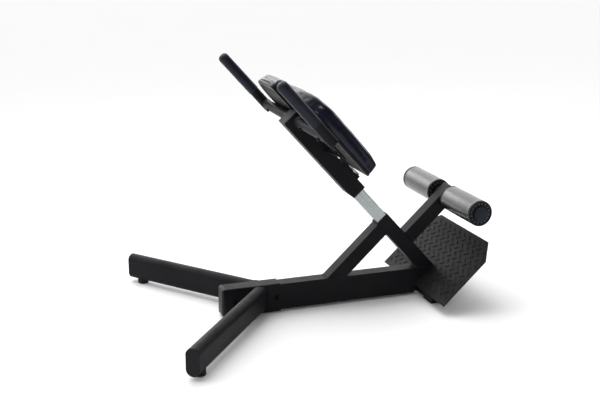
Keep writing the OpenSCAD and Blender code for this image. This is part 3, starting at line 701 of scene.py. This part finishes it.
def cushion(side, sign, look):
    """One pad: stuffed vinyl over foam, crowned and rounded."""
    low, high = BOARD_TOP + 0.0012, BOARD_TOP + look.pad_thickness - 0.006
    made = block_of_foam(side + "_pad_cover", sign, low, high, 0.0012, 0.008)
    fine = made.modifiers.new("fine", "REMESH")
    fine.mode, fine.voxel_size = "VOXEL", CUSHION_VOXEL
    settle(made)
    crown(made, low, high, look.pad_crown)
    stuffed(made, low)
    more = made.modifiers.new("more", "SUBSURF")
    more.levels = 1
    settle(made)
    made.data.transform(POST)
    made.data.shade_smooth()
    own(made, "carriage", finish("vinyl"), (side + "_pad",))


def pad_trim(side, sign):
    """Piping round the pad's lower edge, the wrapped board, its underlay and its staples."""
    around = [on_pad(sign, 0.0388, x, y) for x, y in pad_outline(0.0026)]
    pipe = joined(side + "_pad_piping", [sweep(even_path(around, 0.006), 0.0014, closed=True)])
    own(pipe, "carriage", finish("piping"))

    order = [(0.0291, 0.0055), (0.0294, 0.0032), (0.0304, 0.0015), (0.0325, 0.0007), (0.0362, 0.0006),
             (0.0374, 0.0013), (0.0380, 0.0030)]
    loops = [[on_pad(sign, out, x, y) for x, y in pad_outline(inset)] for out, inset in order]
    board = joined(side + "_pad_board", [lofted(loops)])
    own(board, "carriage", finish("piping"), (side + "_board",))

    loops = [[on_pad(sign, out, x, y) for x, y in pad_outline(0.016)] for out in (0.02885, 0.0294)]
    under = joined(side + "_pad_underlay", [lofted(loops)])
    own(under, "carriage", finish("backing"))

    rng = random.Random(11 if sign > 0 else 12)
    staples = []
    row = even_path([on_pad(sign, 0.0287, x, y) for x, y in pad_outline(0.024)], 0.026)
    for a, b in zip(row, row[1:] + row[:1]):
        along = (b - a).normalized()
        lean = Matrix.Rotation(rng.uniform(-0.25, 0.25), 4, OUT_POST)
        reach = (lean @ along) * 0.0055
        staples.append(sweep([a - reach, a - reach * 0.8, a + reach * 0.8, a + reach], 0.0005, sides=6))
    pins = joined(side + "_pad_staples", staples)
    own(pins, "carriage", finish("bolt"))


# ---- rollers ----


def outwards(sign, start):
    """A frame on the axle whose z runs away from the arm, starting at a distance."""
    z_axis = ACROSS * sign
    x_axis = Vector((1.0, 0.0, 0.0))
    return axes(x_axis, z_axis.cross(x_axis), z_axis, AXLE + z_axis * start)


def foam_roller(side, sign, look):
    """Foam sleeve with soft shoulders and a slightly uneven skin."""
    length = ROLLER_LENGTH - 2.0 * CAP_THICKNESS
    bulge = look.roller_bulge
    shoulder = look.roller_shoulder
    radius = ROLLER_RADIUS - 0.0002
    profile = [(SLEEVE_BORE, 0.0), (radius - shoulder * 0.9, 0.0)]
    profile += arc(radius - shoulder, shoulder, shoulder, -75, 0, 8)[0:-1]
    for k in range(25):
        t = k / 24.0
        profile.append((radius - bulge * (2.0 * t - 1.0) ** 2, shoulder + (length - 2.0 * shoulder) * t))
    profile += arc(radius - shoulder, length - shoulder, shoulder, 0, 75, 8)[1:]
    profile += [(radius - shoulder * 0.9, length), (HUB_BORE, length)]
    profile += [(HUB_BORE, length - 0.006), (SLEEVE_BORE, length - 0.006)]
    profile = [(min(r, radius), z) for r, z in profile]
    profile.append(profile[0])
    made = turned(side + "_foam_sleeve", profile, outwards(sign, ROLLER_IN + CAP_THICKNESS), 96)
    for v in made.data.vertices:
        off = v.co - AXLE
        reach = math.hypot(off.x, off.z)
        if reach > FOAM_SKIN_FROM:
            dent = FOAM_DENT * noise.noise(v.co / FOAM_DENT_SIZE)
            scale = (reach - FOAM_DENT + dent) / reach
            v.co = Vector((AXLE.x + off.x * scale, v.co.y, AXLE.z + off.z * scale))
    own(made, side + "_ankle_roller", finish("foam"), (side + "_roller",))


def hub_cover(side, sign):
    """Smooth domed cover over the axle's end."""
    face = [(0.0190, 0.0), (0.0190, 0.0040), (0.0240, 0.0046)]
    face += [(0.0250, 0.0052), (0.0250, 0.0098), (0.0244, 0.0111), (0.0232, 0.0119)]
    face += [(0.0205, 0.0122), (0.0196, 0.0119), (0.0188, 0.0121), (0.0120, 0.0124), (0.0, 0.0125)]
    start = ROLLER_IN + ROLLER_LENGTH - CAP_THICKNESS
    made = turned(side + "_hub_cover", [(0.0, 0.0)] + face, outwards(sign, start), 72)
    own(made, side + "_ankle_roller", finish("hub"), (side + "_hub",))


def loose(thing):
    """Takes a piece apart into its points and faces, and removes it."""
    part = [v.co.copy() for v in thing.data.vertices], [list(p.vertices) for p in thing.data.polygons]
    bpy.data.objects.remove(thing)
    return part


def ribbed_cap(sign, inner):
    """Parts of an end cap: a rim, a ring of ribs with open gaps, and a ring round the axle."""
    start = ROLLER_IN if inner else ROLLER_IN + ROLLER_LENGTH - CAP_THICKNESS
    place = outwards(sign, start)
    bore = 0.0163 if inner else 0.0191
    thick = CAP_THICKNESS
    parts = []
    for low, high, lip in ((0.0372, 0.0430, 0.0012), (bore, 0.0282, 0.0006)):
        ring = [(low, 0.0), (low, thick), (high - lip, thick), (high, thick - lip)]
        ring += [(high, lip), (high - lip, 0.0), (low, 0.0)]
        parts.append(loose(turned("ring", ring, place, 96)))
    for k in range(CAP_RIBS):
        turn = place @ Matrix.Rotation(2.0 * math.pi * k / CAP_RIBS, 4, "Z")
        corners = []
        for r, half in ((0.0276, 0.0022), (0.0378, 0.0031)):
            for y, z in ((-half, 0.0), (half, 0.0), (half * 0.7, thick), (-half * 0.7, thick)):
                corners.append(turn @ Vector((r, y, z)))
        faces = [[0, 1, 2, 3], [4, 7, 6, 5], [0, 4, 5, 1], [1, 5, 6, 2], [2, 6, 7, 3], [3, 7, 4, 0]]
        parts.append((corners, faces))
    return parts


def roller_caps(side, sign):
    """Both ribbed caps of one roller, and the foam's cut ends behind their gaps."""
    parts = ribbed_cap(sign, True) + ribbed_cap(sign, False)
    made = joined(side + "_ribbed_caps", parts)
    smooth(made, 30.0)
    own(made, side + "_ankle_roller", finish("plastic"), (side + "_roller_caps",))
    rings = []
    inner_end = ROLLER_IN + CAP_THICKNESS
    outer_end = ROLLER_IN + ROLLER_LENGTH - CAP_THICKNESS
    for start, thick in ((inner_end, -0.0005), (outer_end, 0.0005)):
        ring = [(0.0270, 0.0), (0.0385, 0.0), (0.0385, thick), (0.0270, thick), (0.0270, 0.0)]
        rings.append(loose(turned("ring", ring, outwards(sign, start), 96)))
    ends = joined(side + "_foam_ends", rings)
    own(ends, side + "_ankle_roller", finish("cut_foam"))


# ---- handles and lever ----


def grip_sleeve(side, sign):
    """Rubber grip with a rounded top, a collar and shallow rings."""
    length, radius = GRIP_LENGTH, GRIP_RADIUS
    profile = [(0.0, length - 0.010), (GRIP_BORE, length - 0.010), (GRIP_BORE, 0.0)]
    profile += [(radius - 0.0005, 0.0), (radius, 0.0006), (radius, 0.0065)]
    profile += [(radius - 0.0005, 0.0075), (radius - 0.0005, 0.0095), (radius - 0.0002, 0.0105)]
    profile += [(radius - 0.0002, length - 0.015)]
    profile += arc(radius - 0.0152, length - 0.015, 0.015, 0, 90, 12)[1:]
    profile += [(0.0, length + 0.0002)]
    place = axes(OUT_POST, ACROSS, UP_POST, POST @ Vector((CROSS_OUT, sign * HANDLE_Y, GRIP_LOW)))
    made = turned(side + "_rubber_grip", profile, place, 64)
    own(made, "carriage", finish("grip"), (side + "_grip",))


def lever(look):
    """Cast clamp lever: a domed knob and a flared handle with rounded edges."""
    pivot = POST @ Vector((LEVER_BASE, 0.0, LEVER_AT))
    place = axes(UP_POST.cross(OUT_POST) * -1.0, UP_POST, OUT_POST, pivot)
    knob = [(0.0, 0.0), (0.0100, 0.0), (0.0104, 0.0060), (0.0115, 0.0066), (0.0120, 0.0075)]
    knob += [(0.0120, 0.0118), (0.0110, 0.0140), (0.0085, 0.0148)]
    knob += [(0.0045, 0.0149), (0.0040, 0.0138), (0.0, 0.0138)]
    top = turned("lever_knob", knob, place, 48)
    own(top, "clamp", finish("plastic"))

    loops, rows, sides = [], 16, 16
    for k in range(rows + 1):
        t = k / rows
        half = 0.0042 + 0.0030 * t ** 1.4
        thick = 0.0040 - 0.0012 * t
        lift = 0.0042 + 0.0052 * t - 0.0010 * math.sin(math.pi * t)
        y = -(look.lever_length + 0.006) * t
        if k == rows:
            half, thick = half * 0.55, thick * 0.6
        if k == rows - 1:
            half, thick = half * 0.9, thick * 0.9
        loop = []
        for j in range(sides):
            a = 2.0 * math.pi * j / sides
            x = half * math.copysign(abs(math.cos(a)) ** 0.6, math.cos(a))
            z = lift + thick * math.copysign(abs(math.sin(a)) ** 0.6, math.sin(a))
            loop.append(place @ Vector((x, y, z)))
        loops.append(loop)
    arm = piece("lever_handle", *lofted(loops))
    outward(arm)
    round_off = arm.modifiers.new("round", "SUBSURF")
    round_off.levels = 1
    settle(arm)
    arm.data.shade_smooth()
    own(arm, "clamp", finish("zinc"), ("clamp_lever",))


# ---- tread and welds ----


def in_plate(u, y, margin):
    """Whether a place on the tread is clear of the plate's edges and its cut corners."""
    if not (margin < u < PLATE_LENGTH - margin and abs(y) < PLATE_HALF - margin):
        return False
    over_u = u - (PLATE_LENGTH - PLATE_CUT_UP)
    over_y = abs(y) - (PLATE_HALF - PLATE_CUT_ACROSS)
    if over_u <= 0 or over_y <= 0:
        return True
    return over_u / PLATE_CUT_UP + over_y / PLATE_CUT_ACROSS < 1.0 - margin / 0.045


def under_tube(u, y):
    """Whether a place on the tread is covered by the post's foot."""
    return abs(y) < FOOT_HALF and u < FOOT_REACH


def tread_bars(look):
    """Raised bars pressed into the tread, turned left and right in turn."""
    pitch, long, wide, rise = look.tread_pitch, 0.0112, 0.0023, 0.0020
    shape = [(-1.0, 0.0), (-0.72, 0.75), (0.0, 1.0), (0.72, 0.75)]
    shape += [(-a, -b) for a, b in shape]
    parts = []
    rows, columns = int(PLATE_LENGTH / pitch) + 1, int(2.0 * PLATE_HALF / pitch) + 1
    for i in range(rows):
        for j in range(columns):
            u = pitch * (i + 0.5)
            y = pitch * (j - columns / 2.0 + 0.5)
            if (i + j) % 2 or not in_plate(u, y, 0.010) or under_tube(u, y):
                continue
            lean = math.radians(45.0 if i % 2 else -45.0)
            c, s = math.cos(lean), math.sin(lean)
            loops = []
            for grow, z in ((1.0, -0.0002), (0.88, rise * 0.8), (0.5, rise)):
                loop = []
                for a, b in shape:
                    x0, y0 = a * long * (0.55 + 0.45 * grow), b * wide * grow
                    loop.append(PLATE @ Vector((u + c * x0 - s * y0, y + s * x0 + c * y0, z)))
                loops.append(loop)
            parts.append(lofted(loops))
    made = joined("tread_bars", parts)
    own(made, "frame", finish("tread"))


def bead(path, radius=0.0022, closed=False):
    """One rippled weld bead."""
    return sweep(path, radius, closed=closed, sides=10, ripple=0.10, pitch=0.0052)


def straight(a, b, radius=0.0022):
    """A weld bead along a straight joint."""
    return bead(stepped(a, b, BEAD_STEP), radius)


def leg_seam(sign):
    """The oval joint between a leg and the sleeve's side."""
    half, tall = LEG_WIDTH / 2.0, (LEG_HEIGHT - LEG_WIDTH) / 2.0
    oval = arc(0.0, tall, half, 0, 180, 30) + arc(0.0, -tall, half, 180, 360, 30)
    ring = [LEG_ROOT + Vector((a / math.sin(LEG_ANGLE), 0.0008, b)) for a, b in oval]
    return even_path([Vector((p.x, sign * p.y, p.z)) for p in ring], BEAD_STEP)


def end_caps():
    """Chamfered cap on the front sleeve, and rimmed caps with a sunk face on the front legs."""
    up, forward = Vector((0.0, 0.0, 1.0)), Vector((-1.0, 0.0, 0.0))
    front = axes(-ACROSS, up, forward, Vector((POST_FOOT.x - SLEEVE_END, 0.0, SLEEVE_MIDDLE)))
    loops = []
    for depth, inset in ((0.0, 0.0012), (0.0007, 0.0), (0.0072, 0.0), (0.0128, 0.0052), (0.0130, 0.0058)):
        outline = rounded(0.058 - 2.0 * inset, 0.098 - 2.0 * inset, 0.005)
        loops.append([front @ Vector((x, y, depth)) for x, y in outline])
    cap = joined("front_sleeve_cap", [lofted(loops)])
    smooth(cap, 25.0)
    own(cap, "frame", finish("plastic"), ("sleeve_cap",))

    parts = []
    rim = [(0.0, 0.0010), (0.0006, 0.0), (0.0026, 0.0), (0.0036, 0.0009)]
    rim += [(0.0040, 0.0022), (0.0040, 0.0042), (0.0027, 0.0056)]
    half = LEG_WIDTH / 2.0
    for _, sign in SIDES:
        along = Vector((-math.cos(LEG_ANGLE), sign * math.sin(LEG_ANGLE), 0.0))
        root = Vector((LEG_ROOT.x, sign * LEG_ROOT.y, LEG_ROOT.z))
        place = axes(up.cross(along), up, along, root + along * LEG_LENGTH)
        loops = []
        for depth, inset in rim:
            oval = arc(0.0, half, half - inset, 0, 180, 20) + arc(0.0, -half, half - inset, 180, 360, 20)
            loops.append([place @ Vector((x, y, depth)) for x, y in oval])
        parts.append(lofted(loops))
    caps = joined("leg_end_caps", parts)
    smooth(caps, 35.0)
    own(caps, "frame", finish("plastic"), ("leg_caps",))


def across_post(out, up):
    """The two ends of a joint that runs across the post."""
    return POST @ Vector((out, -BEAD_HALF, up)), POST @ Vector((out, BEAD_HALF, up))


def frame_welds():
    """Weld beads of the fixed frame."""
    beads = [bead(leg_seam(sign), 0.0024, True) for _, sign in SIDES]
    for ahead in (*BRACE_ON_BASE, POST_ON_BASE):
        x = POST_FOOT.x - ahead
        beads.append(straight(Vector((x, -BEAD_HALF, BASE_TOP)), Vector((x, BEAD_HALF, BASE_TOP))))
    for up in BRACE_ON_POST:
        beads.append(straight(*across_post(-POST_HALF, up)))
    for up in ARM_ON_POST:
        beads.append(straight(*across_post(POST_HALF, up)))
    for _, sign in SIDES:
        y = sign * (POST_HALF + 0.0005)
        low, high = PLATE @ Vector((0.004, y, BEAD_LIFT)), PLATE @ Vector((0.097, y, BEAD_LIFT))
        beads.append(straight(low, high, 0.0024))
        for edge in RIB_SIDES:
            a, b = [PLATE @ Vector((end, sign * edge, -RIB_BEAD_DEPTH)) for end in RIB_ENDS]
            beads.append(straight(a, b, 0.0016))
    a, b = [PLATE @ Vector((0.100, y, BEAD_LIFT)) for y in (-BEAD_HALF, BEAD_HALF)]
    beads.append(straight(a, b))
    made = joined("frame_welds", beads)
    own(made, "frame", finish("frame"))


def round_tube(y, radius, thick):
    """A weld bead round the cross tube or a handle's collar, at a place across the bench."""
    turn = arc(0.0, 0.0, radius, 0, 360, 48)[:-1]
    ring = [POST @ Vector((CROSS_OUT + x, y, CROSS_AT + z)) for x, z in turn]
    return bead(even_path(ring, BEAD_STEP), thick, True)


def carriage_welds():
    """Weld beads of the carriage, its brackets and its handles."""
    beads = []
    for _, sign in SIDES:
        y = sign * (CARRIAGE_SIDE + BEAD_LIFT)
        for out, low, high in ((0.0238, 0.640, 0.6485), (0.0238, 0.6565, 0.696), (0.0290, 0.638, 0.698)):
            beads.append(straight(POST @ Vector((out, y, low)), POST @ Vector((out, y, high)), 0.0016))
        a, b = POST @ Vector((0.0090, y, 0.6501)), POST @ Vector((0.0230, y, 0.6501))
        beads.append(straight(a, b, 0.0016))
        beads.append(round_tube(y, HANDLE_RADIUS + 0.0002, 0.0018))
        collar = sign * (HANDLE_Y - HANDLE_RADIUS + 0.0012)
        beads.append(round_tube(collar, HANDLE_RADIUS - 0.0002, 0.0015))
        side = sign * 0.0223
        a, b = POST @ Vector((CARRIAGE_TOP, side, 0.497)), POST @ Vector((CARRIAGE_TOP, side, 0.572))
        beads.append(straight(a, b, 0.0015))
    made = joined("carriage_welds", beads)
    own(made, "carriage", finish("frame"))


# ---- studio ----


def studio_floor():
    """A pale floor with a faint mottle."""
    wide = 30.0
    corners = [(-wide, -wide, 0.0), (wide, -wide, 0.0), (wide, wide, 0.0), (-wide, wide, 0.0)]
    floor = piece("studio_floor", corners, [[0, 1, 2, 3]])
    made, tree, shader = blank("Pale studio floor", Roughness=0.9, Specular_IOR_Level=0.1)
    place = wire(tree, "ShaderNodeTexCoord").outputs["Object"]
    mottle = wire(tree, "ShaderNodeTexNoise", {"Vector": place, "Scale": 1.5, "Detail": 3.0}).outputs["Fac"]
    tree.links.new(tint(tree, mottle, (0.90, 0.90, 0.90), (0.92, 0.92, 0.92)), shader["Base Color"])
    floor.data.materials.append(made)


def softbox(name, place, aim, size, power):
    """A soft rectangular studio light aimed at a point."""
    lamp = bpy.data.lights.new(name, "AREA")
    lamp.shape, lamp.size, lamp.size_y = "RECTANGLE", size[0], size[1]
    lamp.energy = power
    holder = bpy.data.objects.new(name, lamp)
    holder.location = place
    holder.rotation_euler = (Vector(aim) - Vector(place)).to_track_quat("-Z", "Y").to_euler()
    bpy.context.scene.collection.objects.link(holder)


def studio_sky(light):
    """Soft light from above, behind and the left that fades to the front right, over a white backdrop."""
    sky = bpy.data.worlds.new("studio")
    bpy.context.scene.world = sky
    sky.use_nodes = True
    tree = sky.node_tree
    tree.nodes.clear()
    way = wire(tree, "ShaderNodeTexCoord").outputs["Generated"]
    bright = Vector((-0.25, 0.85, 0.40)).normalized()
    toward = wire(tree, "ShaderNodeVectorMath", {0: way, 1: bright}, operation="DOT_PRODUCT").outputs["Value"]
    strength = ranged(tree, toward, -0.2, 1.0, 0.10, 2.25 * light)
    dome = wire(tree, "ShaderNodeBackground", {"Strength": strength})
    white = wire(tree, "ShaderNodeBackground", {"Strength": 1.0})
    dome.inputs["Color"].default_value = white.inputs["Color"].default_value = (1.0, 1.0, 1.0, 1.0)
    seen = wire(tree, "ShaderNodeLightPath").outputs["Is Camera Ray"]
    both = wire(tree, "ShaderNodeMixShader", {0: seen, 1: dome.outputs[0], 2: white.outputs[0]})
    tree.links.new(both.outputs[0], wire(tree, "ShaderNodeOutputWorld").inputs["Surface"])


def studio_camera(look):
    """The camera, low and to the front right of the bench."""
    lens = bpy.data.cameras.new("camera")
    lens.sensor_width, lens.lens = 36.0, look.lens
    lens.clip_start, lens.clip_end = 0.05, 100.0
    holder = bpy.data.objects.new("camera", lens)
    holder.location = look.camera_place
    holder.rotation_euler = look.camera_turn
    bpy.context.scene.collection.objects.link(holder)
    bpy.context.scene.camera = holder


# ---- the add-on ----


class RomanChairSizes(bpy.types.PropertyGroup):
    """Sizes of the soft parts and trim."""

    pad_thickness: bpy.props.FloatProperty(
        name="Pad thickness", description="Height of each pad above its board",
        default=0.046, min=0.03, max=0.06, subtype="DISTANCE", unit="LENGTH", precision=4)
    pad_crown: bpy.props.FloatProperty(
        name="Pad crown", description="How far the middle of each pad rises above its ends",
        default=0.013, min=0.0, max=0.03, subtype="DISTANCE", unit="LENGTH", precision=4)
    roller_shoulder: bpy.props.FloatProperty(
        name="Roller shoulder", description="Radius of the foam at each end of a roller",
        default=0.006, min=0.002, max=0.012, subtype="DISTANCE", unit="LENGTH", precision=4)
    roller_bulge: bpy.props.FloatProperty(
        name="Roller bulge", description="How much thicker the middle of a roller is than its ends",
        default=0.0006, min=0.0, max=0.002, subtype="DISTANCE", unit="LENGTH", precision=4)
    tread_pitch: bpy.props.FloatProperty(
        name="Tread pitch", description="Distance between the raised bars of the foot plate",
        default=0.0185, min=0.015, max=0.03, subtype="DISTANCE", unit="LENGTH", precision=4)
    lever_length: bpy.props.FloatProperty(
        name="Lever length", description="Length of the clamp lever from its knob",
        default=0.056, min=0.045, max=0.06, subtype="DISTANCE", unit="LENGTH", precision=4)


class RomanChairLooks(bpy.types.PropertyGroup):
    """Colours of the bench's finishes."""

    paint: bpy.props.FloatVectorProperty(
        name="Frame paint", description="Powder coat of the tubes", subtype="COLOR", size=3,
        default=(0.0080, 0.0081, 0.0096), min=0.0, max=1.0)
    tread: bpy.props.FloatVectorProperty(
        name="Tread paint", description="Paint of the foot plate", subtype="COLOR", size=3,
        default=(0.0065, 0.0065, 0.0074), min=0.0, max=1.0)
    mast: bpy.props.FloatVectorProperty(
        name="Mast", description="Finish of the sliding mast", subtype="COLOR", size=3,
        default=(0.46, 0.50, 0.50), min=0.0, max=1.0)
    hub: bpy.props.FloatVectorProperty(
        name="Hub covers", description="Plastic of the rollers' hub covers", subtype="COLOR", size=3,
        default=(0.008, 0.0095, 0.018), min=0.0, max=1.0)
    grip: bpy.props.FloatVectorProperty(
        name="Grips", description="Rubber of the handles' grips", subtype="COLOR", size=3,
        default=(0.009, 0.0095, 0.017), min=0.0, max=1.0)
    foam: bpy.props.FloatVectorProperty(
        name="Roller foam", description="Skin of the ankle rollers", subtype="COLOR", size=3,
        default=(0.012, 0.0122, 0.013), min=0.0, max=1.0)
    vinyl: bpy.props.FloatVectorProperty(
        name="Pad vinyl", description="Cover of the pads", subtype="COLOR", size=3,
        default=(0.0045, 0.005, 0.013), min=0.0, max=1.0)


class RomanChairStudio(bpy.types.PropertyGroup):
    """Camera and lights."""

    lens: bpy.props.FloatProperty(
        name="Lens", description="Focal length in millimetres", default=63.70, min=20.0, max=200.0)
    camera_place: bpy.props.FloatVectorProperty(
        name="Camera place", description="Where the camera stands", subtype="TRANSLATION", size=3,
        unit="LENGTH", default=(-1.1937, -3.2349, 1.3317))
    camera_turn: bpy.props.FloatVectorProperty(
        name="Camera turn", description="Which way the camera looks", subtype="EULER", size=3,
        unit="ROTATION", default=(math.radians(74.48), 0.0, math.radians(-19.35)))
    light: bpy.props.FloatProperty(
        name="Light", description="Strength of the light from above", default=1.0, min=0.0, max=5.0)


class ROMAN_OT_frame_finish(bpy.types.Operator):
    """Paints the fixed frame and rounds its visible edges"""

    bl_idname = "roman.frame_finish"
    bl_label = "Frame"

    def execute(self, context):
        coat(("left_leg", "right_leg", "post", "brace", "roller_arm"), finish("frame"))
        coat(("front_sleeve", "rear_foot_link"), finish("frame"))
        coat(("mast_plug", "arm_cap", "axle_washers", "rear_foot_caps"), finish("plastic"))
        coat(("sleeve_bolts", "sleeve_nuts", "foot_screws"), finish("bolt"))
        coat(("front_feet", "rear_foot_pads"), finish("rubber"))
        coat(("mast",), finish("mast"))
        coat(("roller_axle", "axle_screws"), finish("axle"))
        softened("base_tube", "base_beam", 0.0028, finish("frame"), 3)
        softened("rear_foot", "rear_foot_bar", 0.0022, finish("frame"), 3)
        softened("plate_ribs", "plate_stiffeners", 0.0010, finish("frame"))
        end_caps()
        frame_welds()
        return {"FINISHED"}


class ROMAN_OT_foot_plate(bpy.types.Operator):
    """Builds the tread plate and its raised bars"""

    bl_idname = "roman.foot_plate"
    bl_label = "Foot plate"

    def execute(self, context):
        softened("foot_plate", "tread_plate", 0.0009, finish("tread"))
        tread_bars(context.scene.roman_chair_sizes)
        return {"FINISHED"}


class ROMAN_OT_carriage(bpy.types.Operator):
    """Finishes the carriage, its brackets and its bushes"""

    bl_idname = "roman.carriage"
    bl_label = "Carriage"

    def execute(self, context):
        coat(("carriage_tube", "cross_tube", "left_handle", "right_handle"), finish("frame"))
        coat(("carriage_cap",), finish("plastic"))
        coat(("lower_bush", "upper_bush"), finish("bush"))
        coat(("bush_screws", "handle_bolts", "pad_bolts", "pad_screws"), finish("bolt"))
        for side, _ in SIDES:
            softened(side + "_wing", side + "_bracket", 0.0008, finish("frame"))
        softened("lock_block", "clamp_block", 0.0012, finish("frame"))
        carriage_welds()
        return {"FINISHED"}


class ROMAN_OT_grips(bpy.types.Operator):
    """Builds the handles' rubber grips"""

    bl_idname = "roman.grips"
    bl_label = "Grips"

    def execute(self, context):
        for side, sign in SIDES:
            grip_sleeve(side, sign)
        return {"FINISHED"}


class ROMAN_OT_pads(bpy.types.Operator):
    """Builds the stuffed pads, their piping, boards, underlay and staples"""

    bl_idname = "roman.pads"
    bl_label = "Pads"

    def execute(self, context):
        for side, sign in SIDES:
            cushion(side, sign, context.scene.roman_chair_sizes)
            pad_trim(side, sign)
        return {"FINISHED"}


class ROMAN_OT_clamp(bpy.types.Operator):
    """Builds the clamp's knob and lever"""

    bl_idname = "roman.clamp"
    bl_label = "Clamp lever"

    def execute(self, context):
        coat(("clamp_screw",), finish("bolt"))
        coat(("clamp_shoe",), finish("bush"))
        lever(context.scene.roman_chair_sizes)
        return {"FINISHED"}


class ROMAN_OT_rollers(bpy.types.Operator):
    """Builds the ankle rollers: foam, ribbed caps and hub covers"""

    bl_idname = "roman.rollers"
    bl_label = "Ankle rollers"

    def execute(self, context):
        coat(("left_roller_core", "right_roller_core"), finish("bush"))
        for side, sign in SIDES:
            foam_roller(side, sign, context.scene.roman_chair_sizes)
            roller_caps(side, sign)
            hub_cover(side, sign)
        return {"FINISHED"}


class ROMAN_OT_stage(bpy.types.Operator):
    """Sets up the pale floor, the soft lights and the camera"""

    bl_idname = "roman.stage"
    bl_label = "Studio"

    def execute(self, context):
        look = context.scene.roman_chair_studio
        studio_floor()
        studio_sky(look.light)
        softbox("overhead", (-0.3, 0.6, 2.6), (0.0, 0.0, 0.4), (2.4, 1.6), 34.0 * look.light)
        softbox("left_fill", (-2.6, 0.4, 1.7), (-0.1, 0.0, 0.5), (1.2, 1.6), 4.5 * look.light)
        softbox("back_left", (-0.6, 2.9, 1.6), (0.4, 0.0, 0.35), (1.3, 1.3), 12.0 * look.light)
        softbox("key", (-0.6, -2.8, 2.1), (0.0, -0.26, 0.7), (0.5, 0.5), 12.5 * look.light)
        studio_camera(look)
        context.scene.view_settings.view_transform = "Standard"
        return {"FINISHED"}


class ROMAN_PT_panel(bpy.types.Panel):
    """Lists the settings and the builders"""

    bl_idname = "ROMAN_PT_panel"
    bl_label = "Roman Chair"
    bl_space_type = "VIEW_3D"
    bl_region_type = "UI"
    bl_category = "Roman Chair"

    def draw(self, context):
        for name, _ in SETTINGS:
            holder = getattr(context.scene, name)
            box = self.layout.box()
            for key in holder.bl_rna.properties.keys():
                if key not in {"rna_type", "name"}:
                    box.prop(holder, key)
        for operator in OPERATORS:
            self.layout.operator(operator.bl_idname)


OPERATORS = (
    ROMAN_OT_stage,
    ROMAN_OT_frame_finish,
    ROMAN_OT_foot_plate,
    ROMAN_OT_carriage,
    ROMAN_OT_grips,
    ROMAN_OT_pads,
    ROMAN_OT_clamp,
    ROMAN_OT_rollers,
)
SETTINGS = (
    ("roman_chair_sizes", RomanChairSizes),
    ("roman_chair_looks", RomanChairLooks),
    ("roman_chair_studio", RomanChairStudio),
)


def register():
    """Registers the settings, the operators and the panel."""
    for name, kind in SETTINGS:
        bpy.utils.register_class(kind)
        setattr(bpy.types.Scene, name, bpy.props.PointerProperty(type=kind))
    for kind in OPERATORS + (ROMAN_PT_panel,):
        bpy.utils.register_class(kind)


def unregister():
    """Takes everything out again."""
    for kind in (ROMAN_PT_panel,) + OPERATORS[::-1]:
        bpy.utils.unregister_class(kind)
    for name, kind in SETTINGS[::-1]:
        delattr(bpy.types.Scene, name)
        bpy.utils.unregister_class(kind)


def main():
    """Builds the stage and every piece."""
    register()
    for operator in OPERATORS:
        name = operator.bl_idname.split(".")[1]
        if getattr(bpy.ops.roman, name)() != {"FINISHED"}:
            raise RuntimeError(f"{name} didn't finish")
    bpy.context.view_layer.update()


if __name__ == "__main__":
    main()
